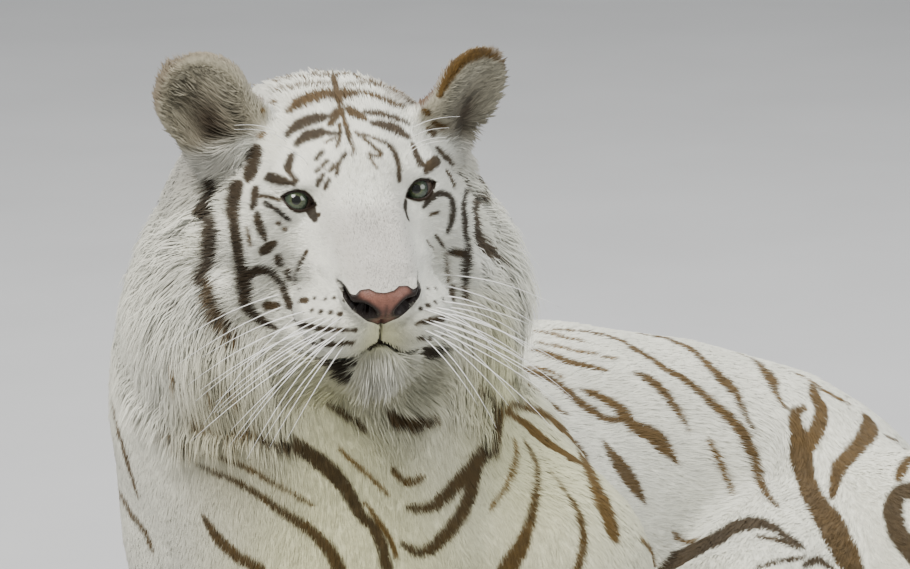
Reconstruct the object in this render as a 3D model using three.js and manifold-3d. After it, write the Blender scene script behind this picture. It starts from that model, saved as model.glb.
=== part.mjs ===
// A white tiger lying on its chest with its hips rolled to its right, head up, as a life-size still model.
// Millimetres. +Z is up, the face looks along -Y, +X is the animal's left. The shapes are laid out from
// a point on the floor under the brisket, and the finished animal is moved so that the origin is under
// its middle. The body is one smooth shape, made as a field of blended muscles, and parted with thin
// flat cuts where its sub-parts are named.
import * as THREE from "three";
import { mergeVertices } from "three/addons/utils/BufferGeometryUtils.js";
import Module from "manifold-3d";

const wasm = await Module();
wasm.setup();

// ---- Driving dimensions ----
const GAP = 0.5; // between neighbouring sub-parts
const DEGREE = Math.PI / 180;
const EYE_HEIGHT = 705; // eyes above the floor
const EYEBALL = 19; // radius
const EYE_AT = [61.5, 13, -5]; // centre of the left eyeball in the head's frame
const HEAD = {
  at: [-31, -300, EYE_HEIGHT], // on the face, between the eyes
  pitch: 12, // degrees, muzzle down
  yaw: 13, // muzzle towards the animal's left
  roll: -3, // left side up
};
const EAR = {
  width: 96,
  depth: 36,
  height: 114,
  // Middle of the leaf in the head's frame, then degrees outward for its lean and its turn.
  1: { at: [128, 98, 52], lean: 31, turn: 37 },
  [-1]: { at: [-134, 102, 69], lean: 19, turn: 13 },
};
const BACK_HEIGHT = 410; // top of the rib cage
const FOREARM_RADIUS = 56;
const PAW = { width: 112, height: 78, length: 150 };
const TAIL_RADIUS = 31;

// ---- Fields: negative inside, in millimetres ----
const clamp = (x, low, high) => Math.min(high, Math.max(low, x));
const mix = (a, b, t) => a + (b - a) * t;

function ellipsoid([cx, cy, cz], [rx, ry, rz]) {
  return (x, y, z) => {
    const [a, b, c] = [(x - cx) / rx, (y - cy) / ry, (z - cz) / rz];
    const near = Math.hypot(a, b, c) + 1e-6;
    return (near * (near - 1)) / (Math.hypot(a / rx, b / ry, c / rz) + 1e-8);
  };
}

// A tapered muscle from a to b.
function muscle([ax, ay, az], ra, [bx, by, bz], rb) {
  const [dx, dy, dz] = [bx - ax, by - ay, bz - az];
  const length2 = dx * dx + dy * dy + dz * dz;
  return (x, y, z) => {
    const t = clamp(((x - ax) * dx + (y - ay) * dy + (z - az) * dz) / length2, 0, 1);
    const [ex, ey, ez] = [x - ax - dx * t, y - ay - dy * t, z - az - dz * t];
    return Math.hypot(ex, ey, ez) - mix(ra, rb, t);
  };
}

function smoothMin(a, b, blend) {
  const h = Math.max(blend - Math.abs(a - b), 0) / blend;
  return Math.min(a, b) - (h * h * blend) / 4;
}

// Joins [shape, blend] pairs in order.
const blended = (pairs) => (x, y, z) =>
  pairs.reduce((d, [shape, blend]) => smoothMin(d, shape(x, y, z), blend), 1e4);

const mirrored = (make) => [1, -1].map(make);

// ---- Head, in its own frame: the eyes' middle is the origin, -Y is forward ----
const headFrame = new THREE.Matrix4().compose(
  new THREE.Vector3(...HEAD.at),
  new THREE.Quaternion().setFromEuler(
    new THREE.Euler(HEAD.pitch * DEGREE, HEAD.roll * DEGREE, HEAD.yaw * DEGREE, "ZXY"),
  ),
  new THREE.Vector3(1, 1, 1),
);
// A shape made in a frame of its own, seen from outside that frame.
function placed(frame, shape) {
  const m = frame.clone().invert().elements;
  return (x, y, z) =>
    shape(
      m[0] * x + m[4] * y + m[8] * z + m[12],
      m[1] * x + m[5] * y + m[9] * z + m[13],
      m[2] * x + m[6] * y + m[10] * z + m[14],
    );
}

// An ear: a leaf of rounded outline, its hollow facing forward and outward.
function earFrame(side) {
  const { at, lean, turn } = EAR[side];
  const angles = new THREE.Euler(-8 * DEGREE, side * lean * DEGREE, side * turn * DEGREE, "YZX");
  return new THREE.Matrix4().makeRotationFromEuler(angles).setPosition(...at);
}

function earShape(side) {
  const { width, depth, height } = EAR;
  const leaf = ellipsoid([0, 0, 0], [width / 2, depth / 2, height / 2]);
  const root = ellipsoid([0, 4, -height * 0.4], [width * 0.4, depth * 0.6, height * 0.3]);
  const innerRoot = ellipsoid(
    [-side * width * 0.3, 6, -height * 0.34],
    [width * 0.34, depth * 0.5, height * 0.32],
  );
  const hollow = ellipsoid([0, -depth * 0.62, height * 0.08], [width * 0.34, depth * 0.62, height * 0.34]);
  return placed(earFrame(side), (x, y, z) => {
    const leafAndRoot = smoothMin(leaf(x, y, z), root(x, y, z), 16);
    return Math.max(smoothMin(leafAndRoot, innerRoot(x, y, z), 16), -hollow(x, y, z));
  });
}

const headShape = placed(
  headFrame,
  blended([
    [ellipsoid([6, 98, -9], [100, 112, 80]), 1], // cranium, fuller on the left
    [ellipsoid([0, 36, 8], [74, 50, 40]), 24], // forehead
    ...mirrored((s) => [ellipsoid([s * 53, 23, 18], [32, 30, 15]), 14]), // brows
    ...mirrored((s) => [ellipsoid([s * 62, 26, -8], [32, 31, 29]), 12]), // round the eyes
    ...mirrored((s) => [ellipsoid([s * 70, 44, -42], [46, 50, 42]), 20]), // cheekbones
    ...mirrored((s) => [ellipsoid([s * 84, 70, -84], [50, 62, 66]), 26]), // cheeks
    ...mirrored((s) => [muscle([s * 15, 16, -8], 33, [s * 13, -84, -54], 29), 14]), // nose bridge
    ...mirrored((s) => [muscle([s * 40, 24, -38], 37, [s * 31, -48, -78], 36), 18]), // muzzle sides
    [muscle([0, 10, -76], 58, [0, -52, -94], 48), 20], // muzzle
    ...mirrored((s) => [ellipsoid([s * 38, -64, -98], [42, 50, 34]), 16]), // whisker pads
    [ellipsoid([0, -102, -65], [37, 27, 23]), 12], // nose
    [muscle([0, 70, -112], 70, [0, -44, -138], 44), 16], // lower jaw
    [ellipsoid([0, -64, -150], [47, 38, 40]), 10], // chin tuft
    ...mirrored((s) => [ellipsoid([s * 106, 128, -66], [46, 54, 80]), 26]), // ruff behind the cheeks
    ...mirrored((s) => [ellipsoid([s * 124, 120, -152], [74, 62, 92]), 30]), // lower ruff
    ...mirrored((s) => [earShape(s), 14]),
  ]),
);

// ---- Neck and trunk ----
const BLEND = 70;
const neckShape = blended([
  [muscle([-80, -130, 665], 130, [-76, -120, 565], 184), 1],
  [muscle([-76, -120, 565], 184, [-88, -40, 430], 198), BLEND],
  [muscle([-50, -160, 530], 120, [-22, -150, 320], 150), BLEND], // throat and bib
]);
const trunkShape = blended([
  [muscle([-80, -30, 430], 196, [-40, 10, 225], 215), BLEND],
  [muscle([-20, -100, 250], 160, [50, 110, 190], 190), BLEND],
  [muscle([20, 70, 190], 190, [160, 330, 200], 200), BLEND],
  [muscle([20, 60, BACK_HEIGHT - 200], 185, [160, 330, BACK_HEIGHT - 190], 190), BLEND],
  [muscle([160, 330, 210], 200, [300, 420, 190], 190), BLEND],
  [muscle([300, 420, 185], 188, [430, 465, 158], 172), BLEND],
  [muscle([430, 465, 160], 167, [592, 505, 122], 92), BLEND],
]);

// ---- Legs: joint centres and radii from the top down ----
const LEGS = {
  fore_left: {
    upper: [[[95, -30, 350], 100], [[160, -150, 275], 100], [[215, -60, 100], 84]],
    lower: [[[215, -60, 80], 80], [[212, -350, 50], FOREARM_RADIUS - 4]],
    paw: { at: [208, -440, 38], turn: 4 },
  },
  fore_right: {
    upper: [[[-186, 70, 415], 106], [[-186, -30, 300], 84], [[-200, 50, 100], 84]],
    lower: [[[-200, 50, 80], 80], [[-178, -245, 50], FOREARM_RADIUS - 4]],
    paw: { at: [-170, -335, 38], turn: 6 },
  },
  hind_left: {
    upper: [[[480, 400, 178], 116], [[580, 270, 180], 108], [[640, 130, 165], 86]],
    lower: [[[640, 125, 160], 82], [[820, -20, 45], 46], [[770, -90, 40], 42]],
    paw: { at: [700, -160, 36], turn: -48 },
  },
  hind_right: {
    upper: [[[470, 370, 140], 130], [[415, 220, 140], 114], [[378, 95, 148], 94]],
    lower: [[[385, 95, 92], 94], [[585, -50, 45], 46], [[535, -120, 40], 42]],
    paw: { at: [465, -190, 36], turn: -48 },
  },
};

function chain(joints, blend) {
  return joints.slice(1).map(([b, rb], i) => [muscle(joints[i][0], joints[i][1], b, rb), blend]);
}

// A paw at [x, y], toes towards -Y before it is turned about +Z.
function pawShape({ at: [px, py, pz], turn }) {
  const [c, s] = [Math.cos(turn * DEGREE), Math.sin(turn * DEGREE)];
  const toes = [-1.5, -0.5, 0.5, 1.5].map((k) => {
    const across = (k * PAW.width) / 4.3;
    const ahead = -PAW.length * (0.3 - 0.05 * k * k);
    return [
      muscle([across * 0.8, ahead + 45, -4], 27, [across, ahead - 18, -16], 23),
      10,
    ];
  });
  const shape = blended([
    [ellipsoid([0, 25, -2], [PAW.width * 0.47, PAW.length * 0.42, PAW.height * 0.5]), 1],
    ...toes,
  ]);
  return (x, y, z) => {
    const [dx, dy] = [x - px, y - py];
    return shape(c * dx + s * dy, -s * dx + c * dy, z - pz);
  };
}

const legShapes = Object.values(LEGS).flatMap(({ upper, lower, paw }) => [
  ...chain(upper, 45),
  ...chain(lower, 35),
  [pawShape(paw), 22],
]);

// ---- Tail: laid on the floor, curving forward past the hind foot ----
const TAIL_LINE = new THREE.CatmullRomCurve3(
  [
    [650, 530, 110],
    [760, 575, 52],
    [900, 570, 30],
    [1030, 480, 28],
    [1090, 340, 27],
    [1070, 190, 25],
    [985, 90, 23],
  ].map((p) => new THREE.Vector3(...p)),
);
const TAIL_STEPS = 22;
const tailPoints = TAIL_LINE.getSpacedPoints(TAIL_STEPS);
const tailRadius = (t) => mix(TAIL_RADIUS * 1.35, TAIL_RADIUS * 0.72, Math.sqrt(t));
const tailShape = blended(
  tailPoints.slice(1).map((b, i) => [
    muscle(
      tailPoints[i].toArray(),
      tailRadius(i / TAIL_STEPS),
      b.toArray(),
      tailRadius((i + 1) / TAIL_STEPS),
    ),
    12,
  ]),
);

const bodyShape = blended([
  [trunkShape, 1],
  [neckShape, BLEND],
  [headShape, 45],
  ...legShapes,
  [tailShape, 30],
]);

// ---- From field to mesh: a surface net over cubic cells, drawn onto the field's zero ----
function gradient(field, x, y, z) {
  const h = 0.5;
  return [
    (field(x + h, y, z) - field(x - h, y, z)) / (2 * h),
    (field(x, y + h, z) - field(x, y - h, z)) / (2 * h),
    (field(x, y, z + h) - field(x, y, z - h)) / (2 * h),
  ];
}

function surfaceNet(field, box, cell) {
  const low = box.min.toArray().map((v) => v - 2 * cell);
  const n = box.max.toArray().map((v, k) => Math.ceil((v + 2 * cell - low[k]) / cell) + 1);
  const stride = [1, n[0], n[0] * n[1]];
  const values = new Float64Array(n[0] * n[1] * n[2]);
  for (let k = 0; k < n[2]; k++)
    for (let j = 0; j < n[1]; j++)
      for (let i = 0; i < n[0]; i++) {
        const edge = [i, j, k].some((v, axis) => v === 0 || v === n[axis] - 1);
        const d = edge ? cell : field(low[0] + i * cell, low[1] + j * cell, low[2] + k * cell);
        values[i + j * stride[1] + k * stride[2]] = d;
      }
  const points = [];
  const index = new Int32Array(values.length).fill(-1);
  const corners = [...Array(8).keys()].map((c) => [c & 1, (c >> 1) & 1, (c >> 2) & 1]);
  for (let k = 0; k < n[2] - 1; k++)
    for (let j = 0; j < n[1] - 1; j++)
      for (let i = 0; i < n[0] - 1; i++) {
        const at = i + j * stride[1] + k * stride[2];
        const d = corners.map(([a, b, c]) => values[at + a + b * stride[1] + c * stride[2]]);
        if (d.every((v) => v < 0) || d.every((v) => v >= 0)) continue;
        const sum = [0, 0, 0];
        let crossings = 0;
        for (let a = 0; a < 8; a++)
          for (const bit of [1, 2, 4]) {
            const b = a | bit;
            if (a & bit || d[a] < 0 === d[b] < 0) continue;
            const t = d[a] / (d[a] - d[b]);
            for (let axis = 0; axis < 3; axis++)
              sum[axis] += mix(corners[a][axis], corners[b][axis], t);
            crossings++;
          }
        const start = [i, j, k].map((v, axis) => low[axis] + (v + sum[axis] / crossings) * cell);
        index[at] = points.length / 3;
        const border = [i, j, k].some((v, axis) => v === 0 || v === n[axis] - 2);
        points.push(...(border ? start : settled(field, start, cell)));
      }
  const triangles = [];
  const apart = (a, b) =>
    Math.hypot(...[0, 1, 2].map((axis) => points[3 * a + axis] - points[3 * b + axis]));
  for (let k = 0; k < n[2] - 1; k++)
    for (let j = 0; j < n[1] - 1; j++)
      for (let i = 0; i < n[0] - 1; i++) {
        const at = i + j * stride[1] + k * stride[2];
        for (let axis = 0; axis < 3; axis++) {
          if ([i, j, k].some((v, other) => v === 0 && other !== axis)) continue;
          const inside = values[at] < 0;
          if (inside === values[at + stride[axis]] < 0) continue;
          const [u, v] = [stride[(axis + 1) % 3], stride[(axis + 2) % 3]];
          const q = [at, at - u, at - u - v, at - v].map((c) => index[c]);
          if (!inside) q.reverse();
          const [a, b, c, d] = apart(q[0], q[2]) <= apart(q[1], q[3]) ? q : [q[1], q[2], q[3], q[0]];
          triangles.push(a, b, c, a, c, d);
        }
      }
  return solid(points, triangles);
}

// Moves a net's vertex onto the surface, by no more than most of a cell.
function settled(field, start, cell) {
  const p = [...start];
  for (let step = 0; step < 4; step++) {
    const d = field(...p);
    const g = gradient(field, ...p);
    const steep = Math.max(g[0] ** 2 + g[1] ** 2 + g[2] ** 2, 0.2);
    for (let axis = 0; axis < 3; axis++)
      p[axis] = clamp(p[axis] - (d * g[axis]) / steep, start[axis] - cell * 0.6, start[axis] + cell * 0.6);
  }
  return p;
}

// ---- Solids ----
function solid(points, triangles) {
  return new wasm.Manifold(
    new wasm.Mesh({
      numProp: 3,
      vertProperties: new Float32Array(points),
      triVerts: new Uint32Array(triangles),
    }),
  );
}

function solidOf(geometry, frame = new THREE.Matrix4()) {
  const bare = geometry.clone().applyMatrix4(frame);
  bare.deleteAttribute("normal");
  bare.deleteAttribute("uv");
  const merged = mergeVertices(bare, 1e-3);
  return solid(merged.attributes.position.array, merged.index.array);
}

function geometryOf(made) {
  const mesh = made.getMesh();
  const geometry = new THREE.BufferGeometry();
  geometry.setAttribute("position", new THREE.BufferAttribute(mesh.vertProperties.slice(), 3));
  geometry.setIndex(new THREE.BufferAttribute(mesh.triVerts.slice(), 1));
  geometry.computeVertexNormals();
  partTwins(geometry);
  return geometry;
}

// Where two folds of a surface meet in one point, each is drawn back into its own side.
function partTwins({ attributes: { position, normal } }) {
  const groups = new Map();
  for (let i = 0; i < position.count; i++) {
    const key = [position.getX(i), position.getY(i), position.getZ(i)].join();
    groups.set(key, [...(groups.get(key) ?? []), i]);
  }
  for (const twins of groups.values()) {
    if (twins.length === 1) continue;
    for (const i of twins)
      position.setXYZ(
        i,
        position.getX(i) - GAP * normal.getX(i),
        position.getY(i) - GAP * normal.getY(i),
        position.getZ(i) - GAP * normal.getZ(i),
      );
  }
}

// A box set in a frame, from one corner to the other.
const boxIn = (frame, from, to) => ({
  frame,
  from: new THREE.Vector3(...from),
  to: new THREE.Vector3(...to),
});

// A box on the level whose side faces run from a to b, this wide, and from the floor up to height.
function slab([ax, ay], [bx, by], width, height) {
  const length = Math.hypot(bx - ax, by - ay);
  const frame = new THREE.Matrix4()
    .makeRotationZ(Math.atan2(by - ay, bx - ax))
    .setPosition((ax + bx) / 2, (ay + by) / 2, 0);
  return boxIn(frame, [-length / 2, -width / 2, -200], [length / 2, width / 2, height]);
}

function boxSolid({ frame, from, to }, margin = 0) {
  const size = to.clone().sub(from).addScalar(2 * margin);
  const middle = from.clone().add(to).multiplyScalar(0.5);
  const box = new THREE.BoxGeometry(...size.toArray()).translate(...middle.toArray());
  return solidOf(box, frame);
}

function boxBounds({ frame, from, to }) {
  return new THREE.Box3(from, to).clone().applyMatrix4(frame).intersect(BODY_BOUNDS);
}

// Sub-parts in order: each takes what the ones before it left of the body inside its box, less a gap.
const LARGE = 4000;
const BODY_BOUNDS = new THREE.Box3(new THREE.Vector3(-400, -620, -60), new THREE.Vector3(1200, 760, 900));
const COAT = 0xe6e4d8;
const earBox = (side) => boxIn(
  headFrame.clone().multiply(earFrame(side)),
  [-EAR.width * 0.62, -EAR.depth * 1.2, -EAR.height * 0.34],
  [EAR.width * 0.62, EAR.depth * 1.4, EAR.height * 0.62],
);
const world = new THREE.Matrix4();
const PARTS = [
  // name, color, cell of its mesh, box
  ["nose", 0x9c6a5f, 12, boxIn(headFrame, [-42, -160, -96], [42, -104, -46])],
  ["ear_left", 0xd9d6c4, 12, earBox(1)],
  ["ear_right", 0xd9d6c4, 11.5, earBox(-1)],
  ["lower_jaw", COAT, 19, boxIn(headFrame, [-66, -150, -230], [66, -10, -130])],
  ["muzzle", COAT, 18, boxIn(headFrame, [-88, -150, -129.5], [88, -6, -14])],
  ["head", COAT, 25, boxIn(headFrame, [-230, -200, -215], [230, 148, 160])],
  ["forepaw_left", COAT, 30, slab([206, -640], [206, -366], 190, 130)],
  ["forepaw_right", COAT, 30, slab([-160, -540], [-175, -262], 190, 130)],
  ["hind_paw_left", COAT, 30, slab([590, -260], [742, -118], 180, 130)],
  ["hind_paw_right", COAT, 30, slab([355, -290], [507, -148], 180, 130)],
  ["forearm_left", COAT, 44, slab([206, -365], [212, -165], 190, 200)],
  ["forearm_right", COAT, 40, slab([-175, -261], [-186, -65], 190, 200)],
  ["shin_right", COAT, 48, slab([619, -106], [425, 35], 220, 400)],
  ["shin_left", COAT, 42, slab([895, -91], [695, 71], 256, 400)],
  ["tail_tip", COAT, 28, slab([900, 60], [1200, 60], 300, 300)],
  ["tail_middle", COAT, 37, slab([880, 400], [1200, 400], 600, 300)],
  ["tail_base", COAT, 32, slab([668, 600], [879, 600], 400, 300)],
  ["thigh_left", COAT, 57, slab([700, -60], [555, 285], 280, 600)],
  ["thigh_right", COAT, 57, slab([330, -60], [425, 230], 250, 420)],
  ["neck", COAT, 61, boxIn(world, [-LARGE, -LARGE, 470], [150, LARGE, LARGE])],
  ["upper_arm_left", COAT, 53, slab([175, -200], [330, -200], 500, 430)],
  ["upper_arm_right", COAT, 53, slab([-330, -100], [-190, -100], 500, 450)],
  ["hindquarters", COAT, 66, boxIn(world, [430, -LARGE, -LARGE], [LARGE, LARGE, LARGE])],
  ["loin", COAT, 70, boxIn(world, [220, -LARGE, -LARGE], [LARGE, LARGE, LARGE])],
  ["chest", COAT, 68, boxIn(world, [-LARGE, -LARGE, -LARGE], [LARGE, LARGE, LARGE])],
];
const aboveFloor = boxSolid(boxIn(world, [-LARGE, -LARGE, 0], [LARGE, LARGE, LARGE]));
const EYES = [1, -1].map((side) => ({
  name: side > 0 ? "eye_left" : "eye_right",
  centre: new THREE.Vector3(side * EYE_AT[0], EYE_AT[1], EYE_AT[2]).applyMatrix4(headFrame),
}));
const eyeball = new THREE.SphereGeometry(EYEBALL, 12, 8);
const socket = solidOf(new THREE.SphereGeometry(EYEBALL + GAP, 12, 8));

const tiger = new THREE.Group();
tiger.name = "white_tiger";

function addMesh(name, color, geometry, roughness = 0.9) {
  const material = new THREE.MeshStandardMaterial({ color, roughness, metalness: 0 });
  const mesh = new THREE.Mesh(geometry, material);
  mesh.name = name;
  tiger.add(mesh);
  return mesh;
}

PARTS.forEach(([name, color, cell, box], order) => {
  let piece = surfaceNet(bodyShape, boxBounds(box), cell).intersect(aboveFloor).intersect(boxSolid(box));
  for (const [, , , earlier] of PARTS.slice(0, order)) piece = piece.subtract(boxSolid(earlier, GAP));
  for (const { centre } of EYES) piece = piece.subtract(socket.translate(...centre.toArray()));
  const bodies = piece.decompose().sort((a, b) => b.volume() - a.volume());
  addMesh(name, color, geometryOf(bodies[0]));
});

for (const { name, centre } of EYES) {
  addMesh(name, 0x5d6a55, eyeball, 0.1).position.copy(centre);
}

// The origin is on the floor under the middle of the whole animal.
const extent = new THREE.Box3().setFromObject(tiger, true);
const middle = extent.getCenter(new THREE.Vector3());
tiger.position.set(-middle.x, -middle.y, -extent.min.z);

export default tiger;
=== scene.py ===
# A white tiger lying with its head up, as a life-size still model: skin, coat, eyes, nose and whiskers
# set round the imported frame. Shapes are worked out in millimetres, in the frame that the solids were
# modelled in, and moved to the part's own frame in metres when a mesh is made.
import math
import bpy
import bmesh
import numpy as np
from mathutils import Matrix, Vector
from mathutils.bvhtree import BVHTree


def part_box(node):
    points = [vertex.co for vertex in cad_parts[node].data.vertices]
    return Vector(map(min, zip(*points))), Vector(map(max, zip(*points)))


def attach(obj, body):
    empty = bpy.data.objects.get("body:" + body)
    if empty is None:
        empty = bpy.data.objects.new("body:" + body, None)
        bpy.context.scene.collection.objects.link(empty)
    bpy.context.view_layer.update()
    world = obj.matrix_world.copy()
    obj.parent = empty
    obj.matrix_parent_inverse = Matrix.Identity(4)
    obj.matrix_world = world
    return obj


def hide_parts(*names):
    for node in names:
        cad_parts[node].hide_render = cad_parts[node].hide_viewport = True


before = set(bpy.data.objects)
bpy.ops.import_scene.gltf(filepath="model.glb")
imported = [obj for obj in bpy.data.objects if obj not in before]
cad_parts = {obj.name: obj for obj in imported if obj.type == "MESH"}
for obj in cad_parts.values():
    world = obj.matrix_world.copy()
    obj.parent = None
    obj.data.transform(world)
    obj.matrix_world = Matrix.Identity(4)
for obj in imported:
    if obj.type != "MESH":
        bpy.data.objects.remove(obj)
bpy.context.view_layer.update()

# ---- Sizes, in millimetres ----
SIDES = (1, -1)  # the animal's left and right, as the sign of x
EYE_HEIGHT = 705.0
EYEBALL = 19.0
EYE_AT = (61.5, 13.0, -5.0)  # centre of the left eyeball in the head's frame
HEAD_AT, HEAD_PITCH, HEAD_YAW, HEAD_ROLL = (-31.0, -300.0, EYE_HEIGHT), 12.0, 13.0, -3.0
EAR_WIDTH, EAR_DEPTH, EAR_HEIGHT, EAR_PITCH = 96.0, 36.0, 114.0, -8.0
EARS = {  # side: (middle of the leaf in the head's frame, lean, turn)
    1: ((128.0, 98.0, 52.0), 31.0, 37.0),
    -1: ((-134.0, 102.0, 69.0), 19.0, 13.0),
}
BACK_HEIGHT = 410.0
FOREARM_RADIUS = 56.0
PAW_WIDTH, PAW_HEIGHT, PAW_LENGTH = 112.0, 78.0, 150.0
TAIL_RADIUS, TAIL_ROOT, TAIL_END = 31.0, 1.35, 0.72  # the last two are shares of the radius
BLEND = 70.0
FAR = 1e4
REACH = 130.0  # a shape further than this from a point has no say there
RING_SEED, COAT_SEED, WHISKER_SEED = 11, 21, 5


def turn(axis, degrees):
    return np.array(Matrix.Rotation(math.radians(degrees), 3, axis))


HEAD_TURN = turn("Z", HEAD_YAW) @ turn("X", HEAD_PITCH) @ turn("Y", HEAD_ROLL)
HEAD_ORIGIN = np.array(HEAD_AT)


def to_head(points):
    return (points - HEAD_ORIGIN) @ HEAD_TURN


def from_head(points):
    return np.asarray(points, float) @ HEAD_TURN.T + HEAD_ORIGIN


def ear_frame(side):
    at, lean, twist = EARS[side]
    rotation = turn("Y", side * lean) @ turn("Z", side * twist) @ turn("X", EAR_PITCH)
    return rotation, np.array(at)


def to_ear(h, side):
    """Head-frame points in one ear's own frame: across it, back to front, and up it."""
    rotation, middle = ear_frame(side)
    return (h - middle) @ rotation


def bell(x, width):
    return np.exp(-((x / width) ** 2))


def ramp(x, low, high):
    """0 below low, 1 above high, and smooth between."""
    t = np.clip((x - low) / (high - low), 0, 1)
    return t * t * (3 - 2 * t)


def unit(v):
    return v / np.maximum(np.linalg.norm(v, axis=1, keepdims=True), 1e-9)


def to_segment(points, a, b):
    """How far points are from the line between a and b, and how far along it, from 0 to 1."""
    way = b - a
    t = np.clip((points - a) @ way / max(way @ way, 1e-6), 0, 1)
    return np.linalg.norm(points - a - t[:, None] * way, axis=1), t


# ---- Fields: distance to a shape in millimetres, negative inside. Each takes points, and the middle and
# radius of a ball round them all, and gives None where the shape is too far from the ball to matter. ----
def ball(points, centre, radii):
    """Distance to an ellipsoid, for points already near it."""
    q = (points - centre) / radii
    near = np.sqrt((q * q).sum(1)) + 1e-6
    q = q / radii
    return near * (near - 1) / (np.sqrt((q * q).sum(1)) + 1e-8)


def ellipsoid(centre, radii):
    centre, radii = np.array(centre, float), np.array(radii, float)
    size = radii.max()

    def shape(points, middle, radius):
        if np.linalg.norm(middle - centre) > size + radius + REACH:
            return None
        return ball(points, centre, radii)

    return shape


def muscle(a, ra, b, rb):
    """A cone from a to b with round ends of radii ra and rb."""
    a, b = np.array(a, float), np.array(b, float)
    half, size = (a + b) / 2, math.sqrt((b - a) @ (b - a)) / 2 + max(ra, rb)

    def shape(points, middle, radius):
        if np.linalg.norm(middle - half) > size + radius + REACH:
            return None
        away, t = to_segment(points, a, b)
        return away - (ra + (rb - ra) * t)

    return shape


def smooth_min(a, b, blend):
    """The lesser of two distances, rounded over where they are within blend of each other."""
    h = np.maximum(blend - np.abs(a - b), 0.0) / blend
    return np.minimum(a, b) - h * h * blend / 4


def smooth_max(a, b, blend):
    return -smooth_min(-a, -b, blend)


def blended(pairs):
    """One shape from shapes and, for each, how widely it blends into those before it."""

    def shape(points, middle, radius):
        total = None
        for part, blend in pairs:
            d = part(points, middle, radius)
            if d is None:
                continue
            total = d if total is None else smooth_min(total, d, blend)
        return total

    return shape


def placed(rotation, origin, part):
    """A shape turned and moved out of its own frame."""

    def shape(points, middle, radius):
        return part((points - origin) @ rotation, (middle - origin) @ rotation, radius)

    return shape


def both(make):
    return [make(side) for side in SIDES]


def ear_shape(side):
    leaf = ellipsoid((0, 0, 0), (EAR_WIDTH / 2, EAR_DEPTH / 2, EAR_HEIGHT / 2))
    root = ellipsoid((0, 4, -EAR_HEIGHT * 0.4), (EAR_WIDTH * 0.4, EAR_DEPTH * 0.6, EAR_HEIGHT * 0.3))
    inner_root = ellipsoid(
        (-side * EAR_WIDTH * 0.3, 6, -EAR_HEIGHT * 0.34),
        (EAR_WIDTH * 0.34, EAR_DEPTH * 0.5, EAR_HEIGHT * 0.32),
    )
    hollow = ellipsoid(
        (0, -EAR_DEPTH * 0.62, EAR_HEIGHT * 0.08),
        (EAR_WIDTH * 0.34, EAR_DEPTH * 0.62, EAR_HEIGHT * 0.34),
    )

    def part(points, middle, radius):
        d = leaf(points, middle, radius)
        if d is None:
            return None
        for base in (root, inner_root):
            r = base(points, middle, radius)
            d = d if r is None else smooth_min(d, r, 16.0)
        h = hollow(points, middle, radius)
        return d if h is None else np.maximum(d, -h)

    return placed(*ear_frame(side), part)


def chain(joints, blend):
    """Muscles from joint to joint of a limb."""
    return [(muscle(*joints[i], *joints[i + 1]), blend) for i in range(len(joints) - 1)]


TOE_GAP = PAW_WIDTH / 4.3


def paw_shape(at, twist):
    toes = []
    for k in (-1.5, -0.5, 0.5, 1.5):
        across, ahead = k * TOE_GAP, -PAW_LENGTH * (0.3 - 0.05 * k * k)
        toes.append((muscle((across * 0.8, ahead + 45, -4), 27, (across, ahead - 18, -16), 23), 10))
    pad = ellipsoid((0, 25, -2), (PAW_WIDTH * 0.47, PAW_LENGTH * 0.42, PAW_HEIGHT * 0.5))
    return placed(turn("Z", twist), np.array(at, float), blended([(pad, 1), *toes]))


head_shape = placed(HEAD_TURN, HEAD_ORIGIN, blended([
    (ellipsoid((6, 98, -9), (100, 112, 80)), 1),
    (ellipsoid((0, 36, 8), (74, 50, 40)), 24),
    *both(lambda s: (ellipsoid((s * 53, 23, 18), (32, 30, 15)), 14)),
    *both(lambda s: (ellipsoid((s * 62, 26, -8), (32, 31, 29)), 12)),
    *both(lambda s: (ellipsoid((s * 70, 44, -42), (46, 50, 42)), 20)),
    *both(lambda s: (ellipsoid((s * 84, 70, -84), (50, 62, 66)), 26)),
    *both(lambda s: (muscle((s * 15, 16, -8), 33, (s * 13, -84, -54), 29), 14)),
    *both(lambda s: (muscle((s * 40, 24, -38), 37, (s * 31, -48, -78), 36), 18)),
    (muscle((0, 10, -76), 58, (0, -52, -94), 48), 20),
    *both(lambda s: (ellipsoid((s * 38, -64, -98), (42, 50, 34)), 16)),
    (ellipsoid((0, -102, -65), (37, 27, 23)), 12),
    (muscle((0, 70, -112), 70, (0, -44, -138), 44), 16),
    (ellipsoid((0, -64, -150), (47, 38, 40)), 10),
    *both(lambda s: (ellipsoid((s * 106, 128, -66), (46, 54, 80)), 26)),
    *both(lambda s: (ellipsoid((s * 124, 120, -152), (74, 62, 92)), 30)),
    *both(lambda s: (ear_shape(s), 14)),
]))
neck_shape = blended([
    (muscle((-80, -130, 665), 130, (-76, -120, 565), 184), 1),
    (muscle((-76, -120, 565), 184, (-88, -40, 430), 198), BLEND),
    (muscle((-50, -160, 530), 120, (-22, -150, 320), 150), BLEND),
])
trunk_shape = blended([
    (muscle((-80, -30, 430), 196, (-40, 10, 225), 215), BLEND),
    (muscle((-20, -100, 250), 160, (50, 110, 190), 190), BLEND),
    (muscle((20, 70, 190), 190, (160, 330, 200), 200), BLEND),
    (muscle((20, 60, BACK_HEIGHT - 200), 185, (160, 330, BACK_HEIGHT - 190), 190), BLEND),
    (muscle((160, 330, 210), 200, (300, 420, 190), 190), BLEND),
    (muscle((300, 420, 185), 188, (430, 465, 158), 172), BLEND),
    (muscle((430, 465, 160), 167, (592, 505, 122), 92), BLEND),
])
WRIST = FOREARM_RADIUS - 4
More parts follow.
